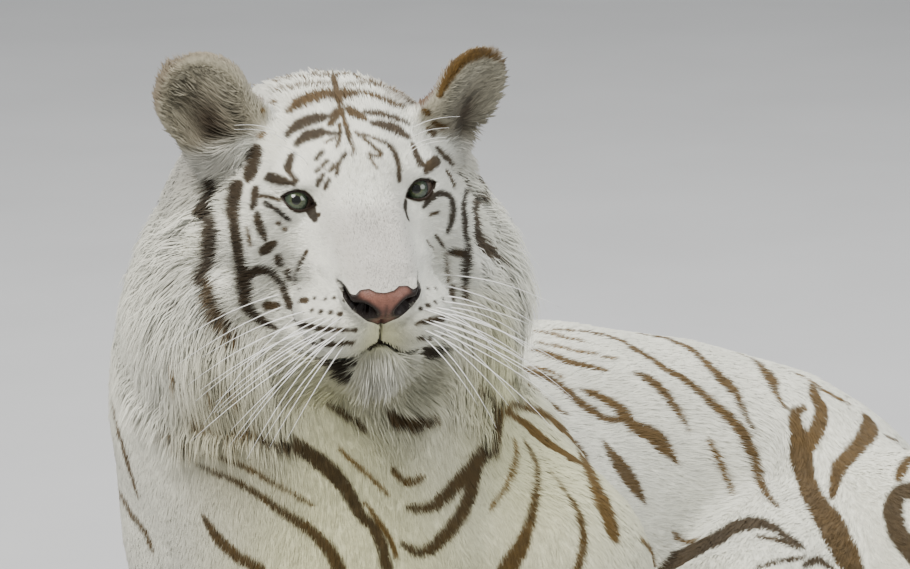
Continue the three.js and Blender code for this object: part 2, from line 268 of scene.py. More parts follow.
LEGS = {  # name: (upper joints, lower joints, paw place, paw turn)
    "fore_left": (
        [((95, -30, 350), 100), ((160, -150, 275), 100), ((215, -60, 100), 84)],
        [((215, -60, 80), 80), ((212, -350, 50), WRIST)], (208, -440, 38), 4,
    ),
    "fore_right": (
        [((-186, 70, 415), 106), ((-186, -30, 300), 84), ((-200, 50, 100), 84)],
        [((-200, 50, 80), 80), ((-178, -245, 50), WRIST)], (-170, -335, 38), 6,
    ),
    "hind_left": (
        [((480, 400, 178), 116), ((580, 270, 180), 108), ((640, 130, 165), 86)],
        [((640, 125, 160), 82), ((820, -20, 45), 46), ((770, -90, 40), 42)], (700, -160, 36), -48,
    ),
    "hind_right": (
        [((470, 370, 140), 130), ((415, 220, 140), 114), ((378, 95, 148), 94)],
        [((385, 95, 92), 94), ((585, -50, 45), 46), ((535, -120, 40), 42)], (465, -190, 36), -48,
    ),
}
UPPER_BLEND, LOWER_BLEND, PAW_BLEND = 45, 35, 22
leg_shapes = []
for upper, lower, paw_at, paw_turn in LEGS.values():
    leg_shapes += chain(upper, UPPER_BLEND) + chain(lower, LOWER_BLEND)
    leg_shapes.append((paw_shape(paw_at, paw_turn), PAW_BLEND))

TAIL_CONTROL = np.array([
    (650, 530, 110), (760, 575, 52), (900, 570, 30), (1030, 480, 28),
    (1090, 340, 27), (1070, 190, 25), (985, 90, 23),
], float)
TAIL_STEPS = 22


def centripetal(control, per_span=40):
    """Points along the centripetal Catmull-Rom curve through the control points."""
    ends = [2 * control[0] - control[1], *control, 2 * control[-1] - control[-2]]
    out = []
    for p0, p1, p2, p3 in zip(ends, ends[1:], ends[2:], ends[3:]):
        d0, d1, d2 = (max(np.sqrt(np.linalg.norm(q - p)), 1e-4) for p, q in ((p0, p1), (p1, p2), (p2, p3)))
        t1 = ((p1 - p0) / d0 - (p2 - p0) / (d0 + d1) + (p2 - p1) / d1) * d1
        t2 = ((p2 - p1) / d1 - (p3 - p1) / (d1 + d2) + (p3 - p2) / d2) * d1
        for t in np.arange(per_span) / per_span:
            out.append(
                p1 + t1 * t + (-3 * p1 + 3 * p2 - 2 * t1 - t2) * t**2 + (2 * p1 - 2 * p2 + t1 + t2) * t**3
            )
    return np.array([*out, control[-1]])


def lengths_along(points):
    """How far along a bent line each of its points is."""
    return np.concatenate([[0], np.cumsum(np.linalg.norm(np.diff(points, axis=0), axis=1))])


def evenly(points, count):
    """Points spaced evenly along a bent line."""
    lengths = lengths_along(points)
    wanted = np.linspace(0, lengths[-1], count)
    return np.stack([np.interp(wanted, lengths, points[:, axis]) for axis in range(3)], 1)


TAIL_POINTS = evenly(centripetal(TAIL_CONTROL), TAIL_STEPS + 1)


def tail_radius(t):
    """The tail's radius at a share t of its length."""
    return TAIL_RADIUS * (TAIL_ROOT + (TAIL_END - TAIL_ROOT) * math.sqrt(t))


tail_shape = blended([
    (muscle(TAIL_POINTS[i], tail_radius(i / TAIL_STEPS), TAIL_POINTS[i + 1],
            tail_radius((i + 1) / TAIL_STEPS)), 12)
    for i in range(TAIL_STEPS)
])
body_shape = blended([
    (trunk_shape, 1), (neck_shape, BLEND), (head_shape, 45), *leg_shapes, (tail_shape, 30),
])


def in_blocks(points, size, work):
    """Does the work on points grouped by the block of space that they are in."""
    keys = np.floor(points / size).astype(np.int64) + 64
    flat = (keys[:, 0] * 128 + keys[:, 1]) * 128 + keys[:, 2]
    order = np.argsort(flat, kind="stable")
    cuts = np.flatnonzero(np.diff(flat[order])) + 1
    out = np.full(len(points), FAR)
    for group in np.split(order, cuts):
        if len(group) == 0:
            continue
        some = points[group]
        low, high = some.min(0), some.max(0)
        d = work(some, (low + high) / 2, np.linalg.norm(high - low) / 2)
        if d is not None:
            out[group] = d
    return out


def body_field(points):
    return in_blocks(points, 120.0, body_shape)


# ---- The coat: how the hair lies, and how long it is, by the nearest stretches of the body ----
def in_world(point, side):
    return np.array(point, float)


def in_head(point, side):
    x, y, z = point
    return from_head((side * x, y, z))


def in_ear(point, side):
    rotation, middle = ear_frame(side)
    x, y, z = point
    return from_head(np.array((side * x, y, z)) @ rotation.T + middle)


def stretches(rows, place, side=1):
    """Rows of two ends, and what holds between them, with the ends put in place."""
    return [(place(a, side), place(b, side), *rest) for a, b, *rest in rows]


# Each row: from and to (the way the hair lies), the hair's length, its lift off the skin in degrees, and the
# gap between tufts
BODY_COAT = [
    ((-80, 0, 760), (-110, 120, 560), 26, 16, 3.5),  # nape
    ((-70, 110, 540), (40, 240, 390), 16, 11, 3.6),  # withers
    ((40, 240, 400), (240, 420, 370), 14, 10, 3.6),  # back
    ((240, 420, 370), (480, 520, 280), 14, 10, 3.6),  # rump
    ((480, 520, 280), (660, 545, 120), 14, 10, 3.7),  # above the tail
    ((100, -20, 330), (260, 170, 260), 16, 11, 3.5),  # left flank, front
    ((260, 170, 260), (420, 300, 200), 20, 14, 3.5),  # left flank, rear
    ((60, -80, 150), (300, 130, 70), 36, 26, 3.9),  # belly
    ((-60, 200, 330), (60, 420, 180), 15, 11, 3.8),  # right flank, front
    ((60, 440, 180), (300, 600, 120), 16, 12, 3.9),  # right flank, rear
    ((-70, -325, 480), (-50, -320, 400), 13, 11, 2.5),  # bib
    ((-50, -310, 400), (-30, -280, 230), 14, 11, 2.9),  # breast
    ((-168, -270, 440), (-160, -240, 360), 13, 11, 2.5),
    ((66, -262, 440), (76, -240, 360), 13, 11, 2.6),
    ((-30, -270, 230), (0, -200, 60), 20, 14, 3.8),
    ((-190, -180, 560), (-230, -120, 400), 15, 12, 2.6),  # right side of the neck
    ((60, -180, 560), (100, -130, 400), 14, 12, 2.7),  # left side of the neck
    ((-260, 40, 430), (-270, 20, 250), 15, 11, 3.6),  # right shoulder
    ((-260, 0, 250), (-260, 60, 110), 14, 11, 3.7),
    ((110, -90, 380), (190, -150, 260), 14, 11, 3.4),  # left shoulder
    ((190, -150, 260), (240, -80, 110), 13, 11, 3.5),
    ((215, -60, 90), (212, -350, 60), 11, 11, 3.4),  # left forearm
    ((-200, 40, 90), (-178, -245, 60), 11, 11, 3.4),  # right forearm
    ((210, -370, 50), (208, -520, 30), 8, 16, 2.9),  # left forepaw
    ((-176, -270, 50), (-168, -420, 30), 8, 16, 2.9),  # right forepaw
    ((500, 420, 260), (600, 240, 240), 14, 10, 3.6),  # left thigh
    ((600, 240, 240), (680, 90, 200), 13, 10, 3.6),
    ((650, 110, 160), (820, -20, 50), 12, 11, 3.6),  # left shin
    ((820, -20, 50), (770, -90, 40), 10, 12, 3.4),
    ((760, -105, 45), (660, -200, 30), 8, 16, 2.9),  # left hind paw
    ((470, 340, 200), (400, 160, 240), 16, 12, 3.8),  # right thigh
    ((400, 160, 220), (380, 60, 150), 14, 12, 3.7),
    ((385, 60, 110), (585, -50, 60), 12, 11, 3.6),  # right shin
    ((585, -50, 50), (535, -120, 40), 10, 12, 3.4),
    ((530, -130, 45), (425, -230, 30), 8, 16, 2.9),  # right hind paw
    ((650, 530, 110), (760, 575, 52), 16, 12, 3.5),  # tail
    ((760, 575, 52), (900, 570, 30), 16, 12, 3.5),
    ((900, 570, 30), (1030, 480, 28), 16, 12, 3.5),
    ((1030, 480, 28), (1090, 340, 27), 16, 12, 3.5),
    ((1090, 340, 27), (1070, 190, 25), 16, 12, 3.5),
    ((1070, 190, 25), (985, 90, 23), 16, 12, 3.5),
]
HEAD_COAT = [  # along the middle of the head
    ((0, -118, -42), (0, -60, -18), 2.6, 20, 1.5),  # bridge of the nose
    ((0, -60, -18), (0, -4, 24), 4.0, 20, 1.6),
    ((0, -4, 28), (0, 60, 66), 8, 20, 1.8),  # forehead
    ((0, 60, 68), (0, 150, 66), 14, 22, 2.2),  # crown
    ((0, 150, 60), (0, 210, 0), 24, 24, 3.0),
    ((0, -104, -96), (0, -100, -116), 3.6, 24, 1.6),  # below the nose
    ((0, -98, -140), (0, -84, -184), 25, 34, 2.0),  # chin
    ((0, -80, -180), (0, 0, -210), 24, 26, 2.4),  # under the jaw
]
PAIRED_COAT = [  # on the left of the head, and mirrored on its right
    ((18, -100, -52), (30, -40, -40), 3.0, 20, 1.5),  # side of the bridge
    ((34, -30, -16), (50, -8, -26), 3.2, 18, 1.5),  # under the eye
    ((22, -110, -90), (62, -78, -96), 5.0, 24, 1.6),  # whisker pad
    ((62, -78, -98), (78, -20, -104), 9, 24, 1.9),
    ((30, -104, -118), (70, -50, -130), 8, 26, 1.7),  # upper lip
    ((34, -78, -150), (50, -30, -178), 21, 32, 1.9),  # side of the chin
    ((50, -20, 24), (70, 30, 50), 6, 22, 1.7),  # brow
    ((62, 10, 48), (92, 80, 52), 12, 22, 2.0),  # temple
    ((80, -2, 6), (100, 40, 4), 8, 20, 1.8),  # beside the eye
    ((74, -12, -30), (108, 30, -46), 9, 20, 1.8),  # cheekbone
    ((100, 40, -40), (128, 80, -62), 17, 24, 2.1),  # cheek
    ((76, -24, -74), (114, 26, -104), 14, 24, 2.0),
    ((112, 40, -96), (142, 72, -150), 34, 26, 2.3),
    ((128, 90, -50), (156, 140, -96), 44, 28, 2.5),  # ruff
    ((150, 90, -130), (176, 120, -220), 58, 30, 2.6),
    ((96, 60, -160), (110, 60, -240), 56, 28, 2.5),
    ((60, 10, -168), (66, 20, -230), 34, 24, 2.4),
    ((162, 38, -140), (150, 14, -228), 50, 24, 2.5),
    ((124, -2, -150), (118, -14, -212), 38, 22, 2.4),
    ((106, 90, 30), (124, 130, -10), 18, 24, 2.2),  # below the ear
    ((140, 160, 0), (150, 220, -60), 32, 22, 2.8),  # behind the ear
]
EAR_COAT = [  # behind the leaf, and in its hollow
    ((0, 16, -44), (0, 14, 50), 9, 12, 1.7),
    ((-18, -2, -30), (20, -4, 40), 24, 4, 1.9),
]
COAT = stretches(BODY_COAT, in_world) + stretches(HEAD_COAT, in_head)
for side in SIDES:
    COAT += stretches(PAIRED_COAT, in_head, side) + stretches(EAR_COAT, in_ear, side)
COAT_A = np.array([row[0] for row in COAT], np.float32)
COAT_B = np.array([row[1] for row in COAT], np.float32)
COAT_WAY = (COAT_B - COAT_A) / np.linalg.norm(COAT_B - COAT_A, axis=1, keepdims=True)
COAT_FACTS = np.array([row[2:] for row in COAT], np.float32)
SHARPNESS = 6.5  # how strongly the nearest stretch wins
NEAR = 6.0  # millimetres, within which no stretch wins outright


def coat_at(points):
    """Each point's lie of the hair, and its length, lift and gap."""
    points = points.astype(np.float32)
    way = np.zeros((len(points), 3), np.float32)
    facts = np.zeros((len(points), 3), np.float32)
    total = np.zeros((len(points), 1), np.float32)
    for a, b, w, f in zip(COAT_A, COAT_B, COAT_WAY, COAT_FACTS):
        weight = (to_segment(points, a, b)[0][:, None] + NEAR) ** -SHARPNESS
        way += weight * w
        facts += weight * f
        total += weight
    return (way / total).astype(float), (facts / total).astype(float)


SKIN_GAP, RISE_SHARE = 0.5, 0.85  # the skin lies in by this much, and by this share of the hair's rise


def coat_depth(points):
    length, lift = coat_at(points)[1][:, :2].T
    return SKIN_GAP + length * np.sin(np.radians(lift)) * RISE_SHARE


class Lattice:
    """A smooth function, kept at the corners of a lattice and mixed between them."""

    def __init__(self, function, low, high, step):
        self.low, self.step = np.array(low, float), step
        self.count = np.ceil((np.array(high) - self.low) / step).astype(int) + 1
        axes = [self.low[k] + step * np.arange(self.count[k]) for k in range(3)]
        grid = np.stack(np.meshgrid(*axes, indexing="ij"), -1).reshape(-1, 3)
        self.values = function(grid).reshape(*self.count)

    def __call__(self, points):
        q = np.clip((points - self.low) / self.step, 0, self.count - 1.001)
        base = q.astype(int)
        f = q - base
        total = 0.0
        for corner in range(8):
            bits = [(corner >> k) & 1 for k in range(3)]
            share = np.prod([f[:, k] if bits[k] else 1 - f[:, k] for k in range(3)], 0)
            total = total + share * self.values[tuple(base[:, k] + bits[k] for k in range(3))]
        return total


LOW, HIGH = (-340.0, -570.0, -30.0), (1160.0, 690.0, 880.0)
HEAD_DEPTH_LOW, HEAD_DEPTH_HIGH = np.array((-200, -460, 500)), np.array((160, -150, 860))
depth_at = Lattice(coat_depth, LOW, HIGH, 20.0)
head_depth_at = Lattice(coat_depth, HEAD_DEPTH_LOW, HEAD_DEPTH_HIGH, 8.0)


def skin_depth(points):
    """How far in the skin lies below the tips of the hair."""
    depth = depth_at(points)
    inside = ((points > HEAD_DEPTH_LOW + 5) & (points < HEAD_DEPTH_HIGH - 5)).all(1)
    depth[inside] = head_depth_at(points[inside])
    return depth


# ---- The face's finer shapes, in the head's frame ----
EYE_CENTRES = {side: np.array([side * EYE_AT[0], EYE_AT[1], EYE_AT[2]]) for side in SIDES}
LID_OPEN_WIDTH, LID_RISE, LID_DROP = 17.0, 9.6, 9.6  # half the almond's width, and its two arcs
LID_THICK = 3.0
LID_SLANT = 20.0  # degrees, inner corner low
LID_FRONT = 3.0  # the almond is cut only this far ahead of the eye's middle, and as far into the ball
NOSTRIL_AT, NOSTRIL_SIZE, NOSTRIL_TILT = (20.0, -119.0, -71.0), (12.5, 15.0, 8.0), 26
NOSTRIL_SLIT, SLIT_WIDTH = np.array([(26.0, -70.0), (34.0, -62.0), (38.0, -53.0)]), 2.0
WING_AT, WING_SIZE = (29.0, -104.0, -60.0), (10.0, 15.0, 11.0)
PAD_AT, PAD_REACH, PAD_RAISED = (42, -102), 30.0, 4.0  # the whisker pads
CREASE_DEPTH, CREASE_WIDTH = 3.0, 6.0  # behind the whisker pads
LIP_RAISED, LIP_WIDTH = 2.4, 9.0
FURROW_DEPTH, FURROW_WIDTH = 1.6, 7.0  # down the forehead
PHILTRUM_DEPTH, PHILTRUM_WIDTH = 3.2, 2.2
MOUTH_LINE = np.array([  # |x| and z in the head's frame
    (0, -123), (9, -126), (21, -135), (35, -144), (50, -150), (64, -151), (76, -146),
], float)
MOUTH_DEPTH, MOUTH_WIDTH = 6.0, 3.0
PAD_EDGE = np.array([(52, -58), (64, -78), (71, -100), (70, -122), (62, -138)], float)


def lid_axes(side):
    """Across (outward), up and forward, of one eye's opening."""
    forward = np.array([side * 0.05, -0.93, 0.36])
    forward /= np.linalg.norm(forward)
    across = np.array([side * math.cos(math.radians(LID_SLANT)), 0.0, math.sin(math.radians(LID_SLANT))])
    across -= forward * (across @ forward)
    across /= np.linalg.norm(across)
    up = np.cross(forward, across) * side
    return across, up * np.sign(up[2]), forward


LID_AXES = {side: lid_axes(side) for side in SIDES}


def lid_opening(u, v):
    """Negative inside the almond between the lids."""
    bow = 1 - (u / LID_OPEN_WIDTH) ** 2
    return np.maximum(v - LID_RISE * bow, -LID_DROP * bow - v)


def line_distance(points, line):
    """Distance in a plane from points to a bent line."""
    best = np.full(len(points), FAR)
    for a, b in zip(line, line[1:]):
        best = np.minimum(best, to_segment(points, a, b)[0])
    return best


def nostrils(h):
    """The two nostrils, each a hollow with a slit that curls up and outward round its wing."""
    x, y, z = np.abs(h[:, 0]), h[:, 1], h[:, 2]
    q = np.stack([x, y, z], 1)
    c, s = math.cos(math.radians(NOSTRIL_TILT)), math.sin(math.radians(NOSTRIL_TILT))
    r = q - np.array(NOSTRIL_AT)
    turned = np.stack([c * r[:, 0] + s * r[:, 2], r[:, 1], -s * r[:, 0] + c * r[:, 2]], 1)
    hole = ball(turned, (0, 0, 0), NOSTRIL_SIZE)
    slit = line_distance(q[:, [0, 2]], NOSTRIL_SLIT) - SLIT_WIDTH
    slit = np.maximum(slit, y + 84)
    return smooth_min(hole, slit, 6.0)


def shape_face(h, d):
    """The skin's distance d at head-frame points h, with lids, nose wings, lips and furrows raised."""
    x, y, z = h.T
    side_x = np.abs(x)
    front = ramp(-y, 10, 40)
    above = line_distance(np.stack([side_x, z - 13], 1), MOUTH_LINE)
    d = d - LIP_RAISED * bell(above, LIP_WIDTH) * front * (1 - bell(x, LIP_WIDTH))
    d = d + FURROW_DEPTH * bell(x, FURROW_WIDTH) * ramp(z, 18, 40) * (1 - ramp(z, 70, 90))
    pad = bell(np.hypot(side_x - PAD_AT[0], (z - PAD_AT[1]) * 1.2), PAD_REACH) * ramp(-y, 0, 45)
    crease = line_distance(np.stack([side_x, z], 1), PAD_EDGE)
    d = d - PAD_RAISED * pad + CREASE_DEPTH * bell(crease, CREASE_WIDTH) * ramp(-y, -5, 25)
    wing = ball(np.stack([side_x, y, z], 1), WING_AT, WING_SIZE)
    d = smooth_min(d, wing, 7.0)
    for side in SIDES:
        r = h - EYE_CENTRES[side]
        near = (r * r).sum(1) < (3.0 * EYEBALL) ** 2
        away = np.sqrt((r[near] ** 2).sum(1)) - EYEBALL
        ahead = r[near] @ LID_AXES[side][2]
        lid = smooth_max(away - LID_THICK, 2.0 - ahead, 4.0)
        d[near] = smooth_min(d[near], lid, 7.0)
    return d


def cut_face(h, d):
    """The same distance once the eye openings, nostrils, philtrum and mouth are cut."""
    x, y, z = h.T
    front = ramp(-y, 10, 40)
    mouth = line_distance(np.stack([np.abs(x), z], 1), MOUTH_LINE)
    d = d + PHILTRUM_DEPTH * bell(x, PHILTRUM_WIDTH) * ramp(z, -126, -119) * (1 - ramp(z, -92, -84)) * front
    d = d + MOUTH_DEPTH * bell(mouth, MOUTH_WIDTH) * ramp(-y, -20, 0)
    d = smooth_max(d, -nostrils(h), 3.0)
    for side in SIDES:
        r = h - EYE_CENTRES[side]
        across, up, forward = LID_AXES[side]
        opening = np.maximum(lid_opening(r @ across, r @ up), LID_FRONT - r @ forward)
        behind = np.sqrt((r * r).sum(1)) - EYEBALL + LID_FRONT
        d = smooth_max(d, -np.maximum(opening, -behind), 1.0)
    return d


FACE_LOW, FACE_HIGH = np.array([-112.0, -150.0, -225.0]), np.array([112.0, 60.0, 70.0])
HEAD_LOW, HEAD_HIGH = (-210, -160, -235), (210, 170, 140)
FACE_BAND = 60  # only points this near to the skin feel the face's finer shapes
FLOOR_LEVEL, FLOOR_EASE = 1.0, 4.0


def on_face(points):
    """Points in the head's frame, and which of them the face's finer shapes can reach."""
    h = to_head(points)
    return h, ((h > FACE_LOW) & (h < FACE_HIGH)).all(1)


# TOE_SHADE: how much the folds between the toes are darkened, as painted shade
TOE_FOLD, TOE_FOLD_WIDTH, TOE_SHADE = 6.0, 4.6, 0.45
# painted shade where the skin is sunk into the eye openings, nostrils and mouth
SUNK_SHADE = 0.5
PAWS = [(np.array(paw_at, float), turn("Z", paw_turn)) for _, _, paw_at, paw_turn in LEGS.values()]
PAW_FRONTS = [at + rotation @ np.array((0, -52.0, 0)) for at, rotation in PAWS]


def toe_folds(points):
    """Near 1 in the folds between the toes."""
    folds = np.zeros(len(points))
    for (at, rotation), front in zip(PAWS, PAW_FRONTS):
        near = np.flatnonzero(((points - front) ** 2).sum(1) < PAW_LENGTH**2)
        if not len(near):
            continue
        x, y, z = ((points[near] - at) @ rotation).T
        fold = sum(bell(x - k * TOE_GAP, TOE_FOLD_WIDTH) for k in (-1, 0, 1))
        folds[near] = np.maximum(folds[near], fold * ramp(-y, 14, 44) * ramp(z, -34, -20))
    return folds


EAR_BOWL = (47.0, 22.0, 55.0)


def carve_ears(h, d):
    """The skin's distance d at head-frame points h, with the ears' leaves thinned to their rims."""
    for side in SIDES:
        q = to_ear(h, side)
        near = np.flatnonzero((q * q).sum(1) < EAR_HEIGHT**2)
        if len(near):
            bowl = ball(q[near], (0, -EAR_DEPTH * 0.61, EAR_HEIGHT * 0.03), EAR_BOWL)
            d[near] = smooth_max(d[near], -bowl, 3.0)
    return d


def skin_field(points):
    """The distance to the skin, before the eyes, nose and mouth are cut."""
    d = smooth_max(body_field(points) + skin_depth(points), FLOOR_LEVEL - points[:, 2], FLOOR_EASE)
    h, face = on_face(points)
    d = carve_ears(h, d) + TOE_FOLD * toe_folds(points)
    face &= np.abs(d) < FACE_BAND
    if face.any():
        d[face] = shape_face(h[face], d[face])
    return d


def sink(points, ways, deepest=17.0, step=0.6):
    """Pushes points in along their ways until they are on the cut face."""

    def cut(at):
        return cut_face(to_head(at), skin_field(at))

    reach, before = np.zeros(len(points)), cut(points)
    going = before > 0.02
    while going.any() and reach.max() < deepest:
        at = points[going] - (reach[going] + step)[:, None] * ways[going]
        now = cut(at)
        last = before[going]
        done = now <= 0
        share = np.where(done, last / np.maximum(last - now, 1e-6), 1.0)
        reach[going] += step * share
        before[going] = now
        index = np.flatnonzero(going)
        going[index[done]] = False
    return points - reach[:, None] * ways


def slope(field, points, step=0.4):
    """The way in which a field grows, at points."""
    out = np.empty_like(points)
    for axis in range(3):
        move = np.zeros(3)
        move[axis] = step
        out[:, axis] = (field(points + move) - field(points - move)) / (2 * step)
    return out


def settle(field, points, steps, most):
    """Moves points onto a field's surface, by no more than most."""
    start = points.copy()
    for _ in range(steps):
        g = slope(field, points)
        move = field(points)[:, None] * g / np.maximum((g * g).sum(1, keepdims=True), 0.2)
        points = np.clip(points - move, start - most, start + most)
    return points


# ---- Surface net over a lattice whose lines are closer together round the head ----
EDGES = [(a, a | bit) for a in range(8) for bit in (1, 2, 4) if not a & bit]
STEEPEST, SPARE = 1.7, 14  # a block is passed over where the field is above its radius by these
GROWTH = 1.25  # how much wider each gap of a lattice is than the last, away from the head


def surface_net(field, lines, block=8):
    """Points and four-cornered faces of a field's surface. lines holds each axis' coordinates."""
    count = [len(axis) for axis in lines]
    values = np.full(count, FAR)
    blocks = [np.arange(0, n, block) for n in count]
    starts = np.stack(np.meshgrid(*blocks, indexing="ij"), -1).reshape(-1, 3)
    stops = np.minimum(starts + block, count) - 1
    corner_low = np.stack([lines[k][starts[:, k]] for k in range(3)], 1)
    corner_high = np.stack([lines[k][stops[:, k]] for k in range(3)], 1)
    radius = np.linalg.norm(corner_high - corner_low, axis=1) / 2
    middle = field((corner_low + corner_high) / 2)
    for start, stop, d, r in zip(starts, stops, middle, radius):
        box = tuple(slice(start[k], stop[k] + 1) for k in range(3))
        if abs(d) > r * STEEPEST + SPARE:
            values[box] = d
            continue
        grid = np.meshgrid(*(lines[k][box[k]] for k in range(3)), indexing="ij")
        values[box] = field(np.stack(grid, -1).reshape(-1, 3)).reshape(grid[0].shape)
    for axis in range(3):
        for end in (0, -1):
            values[tuple(end if k == axis else slice(None) for k in range(3))] = FAR
    inside = values < 0
    cells = [n - 1 for n in count]
    corner = [
        inside[tuple(slice((c >> k) & 1, cells[k] + ((c >> k) & 1)) for k in range(3))] for c in range(8)
    ]
    mixed = ~(np.logical_and.reduce(corner) | ~np.logical_or.reduce(corner))
    at = np.argwhere(mixed)
    number = np.full(cells, -1)
    number[tuple(at.T)] = np.arange(len(at))
    bits = np.array([[(c >> k) & 1 for k in range(3)] for c in range(8)])
    d = np.stack([values[tuple((at + b).T)] for b in bits], 1)
    total, crossings = np.zeros((len(at), 3)), np.zeros(len(at))
    for a, b in EDGES:
        cross = (d[:, a] < 0) != (d[:, b] < 0)
        t = d[cross, a] / (d[cross, a] - d[cross, b])
        total[cross] += bits[a] + (bits[b] - bits[a]) * t[:, None]
        crossings[cross] += 1
    place = at + total / crossings[:, None]
    points = np.stack([np.interp(place[:, k], np.arange(count[k]), lines[k]) for k in range(3)], 1)
    widths = np.stack([np.diff(lines[k])[at[:, k]] for k in range(3)], 1)
    faces = []
    for axis in range(3):
        u, v = (axis + 1) % 3, (axis + 2) % 3
        first = inside[tuple(slice(0, -1) if k == axis else slice(1, -1) for k in range(3))]
        second = inside[tuple(slice(1, None) if k == axis else slice(1, -1) for k in range(3))]
        edge = np.argwhere(first != second)
        outward = first[tuple(edge.T)]
        edge = edge + [0 if k == axis else 1 for k in range(3)]
        steps = [np.zeros(3, int) for _ in range(4)]
        for step, su, sv in zip(steps, (0, 1, 1, 0), (0, 0, 1, 1)):
            step[u], step[v] = su, sv
        quad = np.stack([number[tuple((edge - step).T)] for step in steps], 1)
        quad[~outward] = quad[~outward, ::-1]
        faces.append(quad)
    return points, np.concatenate(faces), widths


def spaced(low, high, fine_low, fine_high, fine, coarse):
    """Coordinates from low to high, fine between the two fine ends and growing coarser outside them."""
    middle = list(np.arange(fine_low, fine_high, fine))
    below, gap = [middle[0]], fine
    while below[0] > low:
        gap = min(gap * GROWTH, coarse)
        below.insert(0, below[0] - gap)
    above, gap = [middle[-1]], fine
    while above[-1] < high:
        gap = min(gap * GROWTH, coarse)
        above.append(above[-1] + gap)
    return np.array(below[:-1] + middle + above[1:])


FINE, COARSE = 5.2, 13.0
LINES = [
    spaced(LOW[0], HIGH[0], -205, 150, FINE, COARSE),
    spaced(LOW[1], HIGH[1], -450, -170, FINE, COARSE),
    spaced(-40.0, HIGH[2], 540, 830, FINE, COARSE),
]


# ---- The view: 6 m off, 12 degrees up, the eyes' middle right of and below the frame's top left corner ----
FRAME_WIDTH, FRAME_HEIGHT = 910.0, 569.0
VIEW_DISTANCE, VIEW_LIFT, VIEW_FOCAL = 6000.0, 12.0, 6000.0  # millimetres, degrees, pixels
EYES_AT_PIXEL = (359.0, 195.0)
VIEW_AHEAD = np.array([0.0, math.cos(math.radians(VIEW_LIFT)), -math.sin(math.radians(VIEW_LIFT))])
VIEW_RIGHT = np.array([1.0, 0.0, 0.0])
VIEW_UP = np.cross(VIEW_RIGHT, VIEW_AHEAD)
VIEW_FROM = (
    HEAD_ORIGIN
    - VIEW_DISTANCE * VIEW_AHEAD
    + (FRAME_WIDTH / 2 - EYES_AT_PIXEL[0]) * VIEW_DISTANCE / VIEW_FOCAL * VIEW_RIGHT
    + (EYES_AT_PIXEL[1] - FRAME_HEIGHT / 2) * VIEW_DISTANCE / VIEW_FOCAL * VIEW_UP
)


def ray_through(x, y):
    ray = (
        VIEW_FOCAL * VIEW_AHEAD + (x - FRAME_WIDTH / 2) * VIEW_RIGHT + (FRAME_HEIGHT / 2 - y) * VIEW_UP
    )
    return ray / np.linalg.norm(ray)


# ---- The skin: one closed mesh, finer on the face ----
REFINED = [  # (middle in the head's frame, reach): each patch is halved again
    ((0, -50, -70), 112.0),
    *both(lambda s: (EARS[s][0], 66.0)),
    *both(lambda s: (EYE_CENTRES[s] + (0, -12, 0), 30.0)),
    *both(lambda s: ((s * 24, -112, -66), 30.0)),
    *both(lambda s: ((s * 28, -106, -68), 24.0)),
    ((0, -95, -112), 26.0),
    *[(to_head(front[None])[0], 72.0) for front in PAW_FRONTS * 2],
    *both(lambda s: ((s * 30, -78, -142), 30.0)),
]


def opened(points, faces):
    """A mesh to edit, from points and faces."""
    bm = bmesh.new()
    for p in points:
        bm.verts.new(p)
    bm.verts.ensure_lookup_table()
    for f in faces:
        bm.faces.new([bm.verts[i] for i in f])
    return bm


def halve(bm, edges):
    bmesh.ops.subdivide_edges(bm, edges=edges, cuts=1, use_grid_fill=True)


def cut_large(bm):
    bmesh.ops.triangulate(bm, faces=[f for f in bm.faces if len(f.verts) > 4])


def closed(bm):
    """The points and faces of an edited mesh."""
    points = np.array([v.co[:] for v in bm.verts])
    bm.verts.index_update()
    faces = [[v.index for v in f.verts] for f in bm.faces]
    bm.free()
    return points, faces


def refine(points, faces):
    """Halves the faces round each refined place."""
    bm = opened(points, faces)
    for middle, reach in REFINED:
        centre = Vector(from_head([middle])[0])
        edges = [
            e for e in bm.edges
            if (e.verts[0].co - centre).length < reach and (e.verts[1].co - centre).length < reach
        ]
        halve(bm, edges)
    cut_large(bm)
    return closed(bm)


def part_shift():
    """From the modelling frame to the part's own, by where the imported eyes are."""
    moves = []
    for side, node in ((1, "eye_left"), (-1, "eye_right")):
        low, high = (np.array(corner) * 1000 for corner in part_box(node))
        moves.append((low + high) / 2 - from_head([EYE_CENTRES[side]])[0])
    return sum(moves) / 2


SHIFT = part_shift()


def to_part(points):
    return (np.asarray(points, float) + SHIFT) / 1000


def linked(name, data):
    made = bpy.data.objects.new(name, data)
    bpy.context.scene.collection.objects.link(made)
    return made


def mesh_object(name, points, faces, smooth=True):
    """An object from points in millimetres and faces, in the part's frame."""
    mesh = bpy.data.meshes.new(name)
    if isinstance(faces, list):
        sizes = np.array([len(f) for f in faces])
        corners = np.concatenate([np.asarray(f) for f in faces])
    else:
        sizes, corners = np.full(len(faces), faces.shape[1]), faces.ravel()
    mesh.vertices.add(len(points))
    mesh.vertices.foreach_set("co", to_part(points).astype(np.float32).ravel())
    mesh.loops.add(len(corners))
    mesh.loops.foreach_set("vertex_index", corners.astype(np.int32))
    mesh.polygons.add(len(sizes))
    mesh.polygons.foreach_set("loop_start", np.concatenate([[0], np.cumsum(sizes)[:-1]]).astype(np.int32))
    mesh.update(calc_edges=True)
    mesh.validate()
    if smooth:
        mesh.polygons.foreach_set("use_smooth", np.ones(len(mesh.polygons), bool))
    return linked(name, mesh)


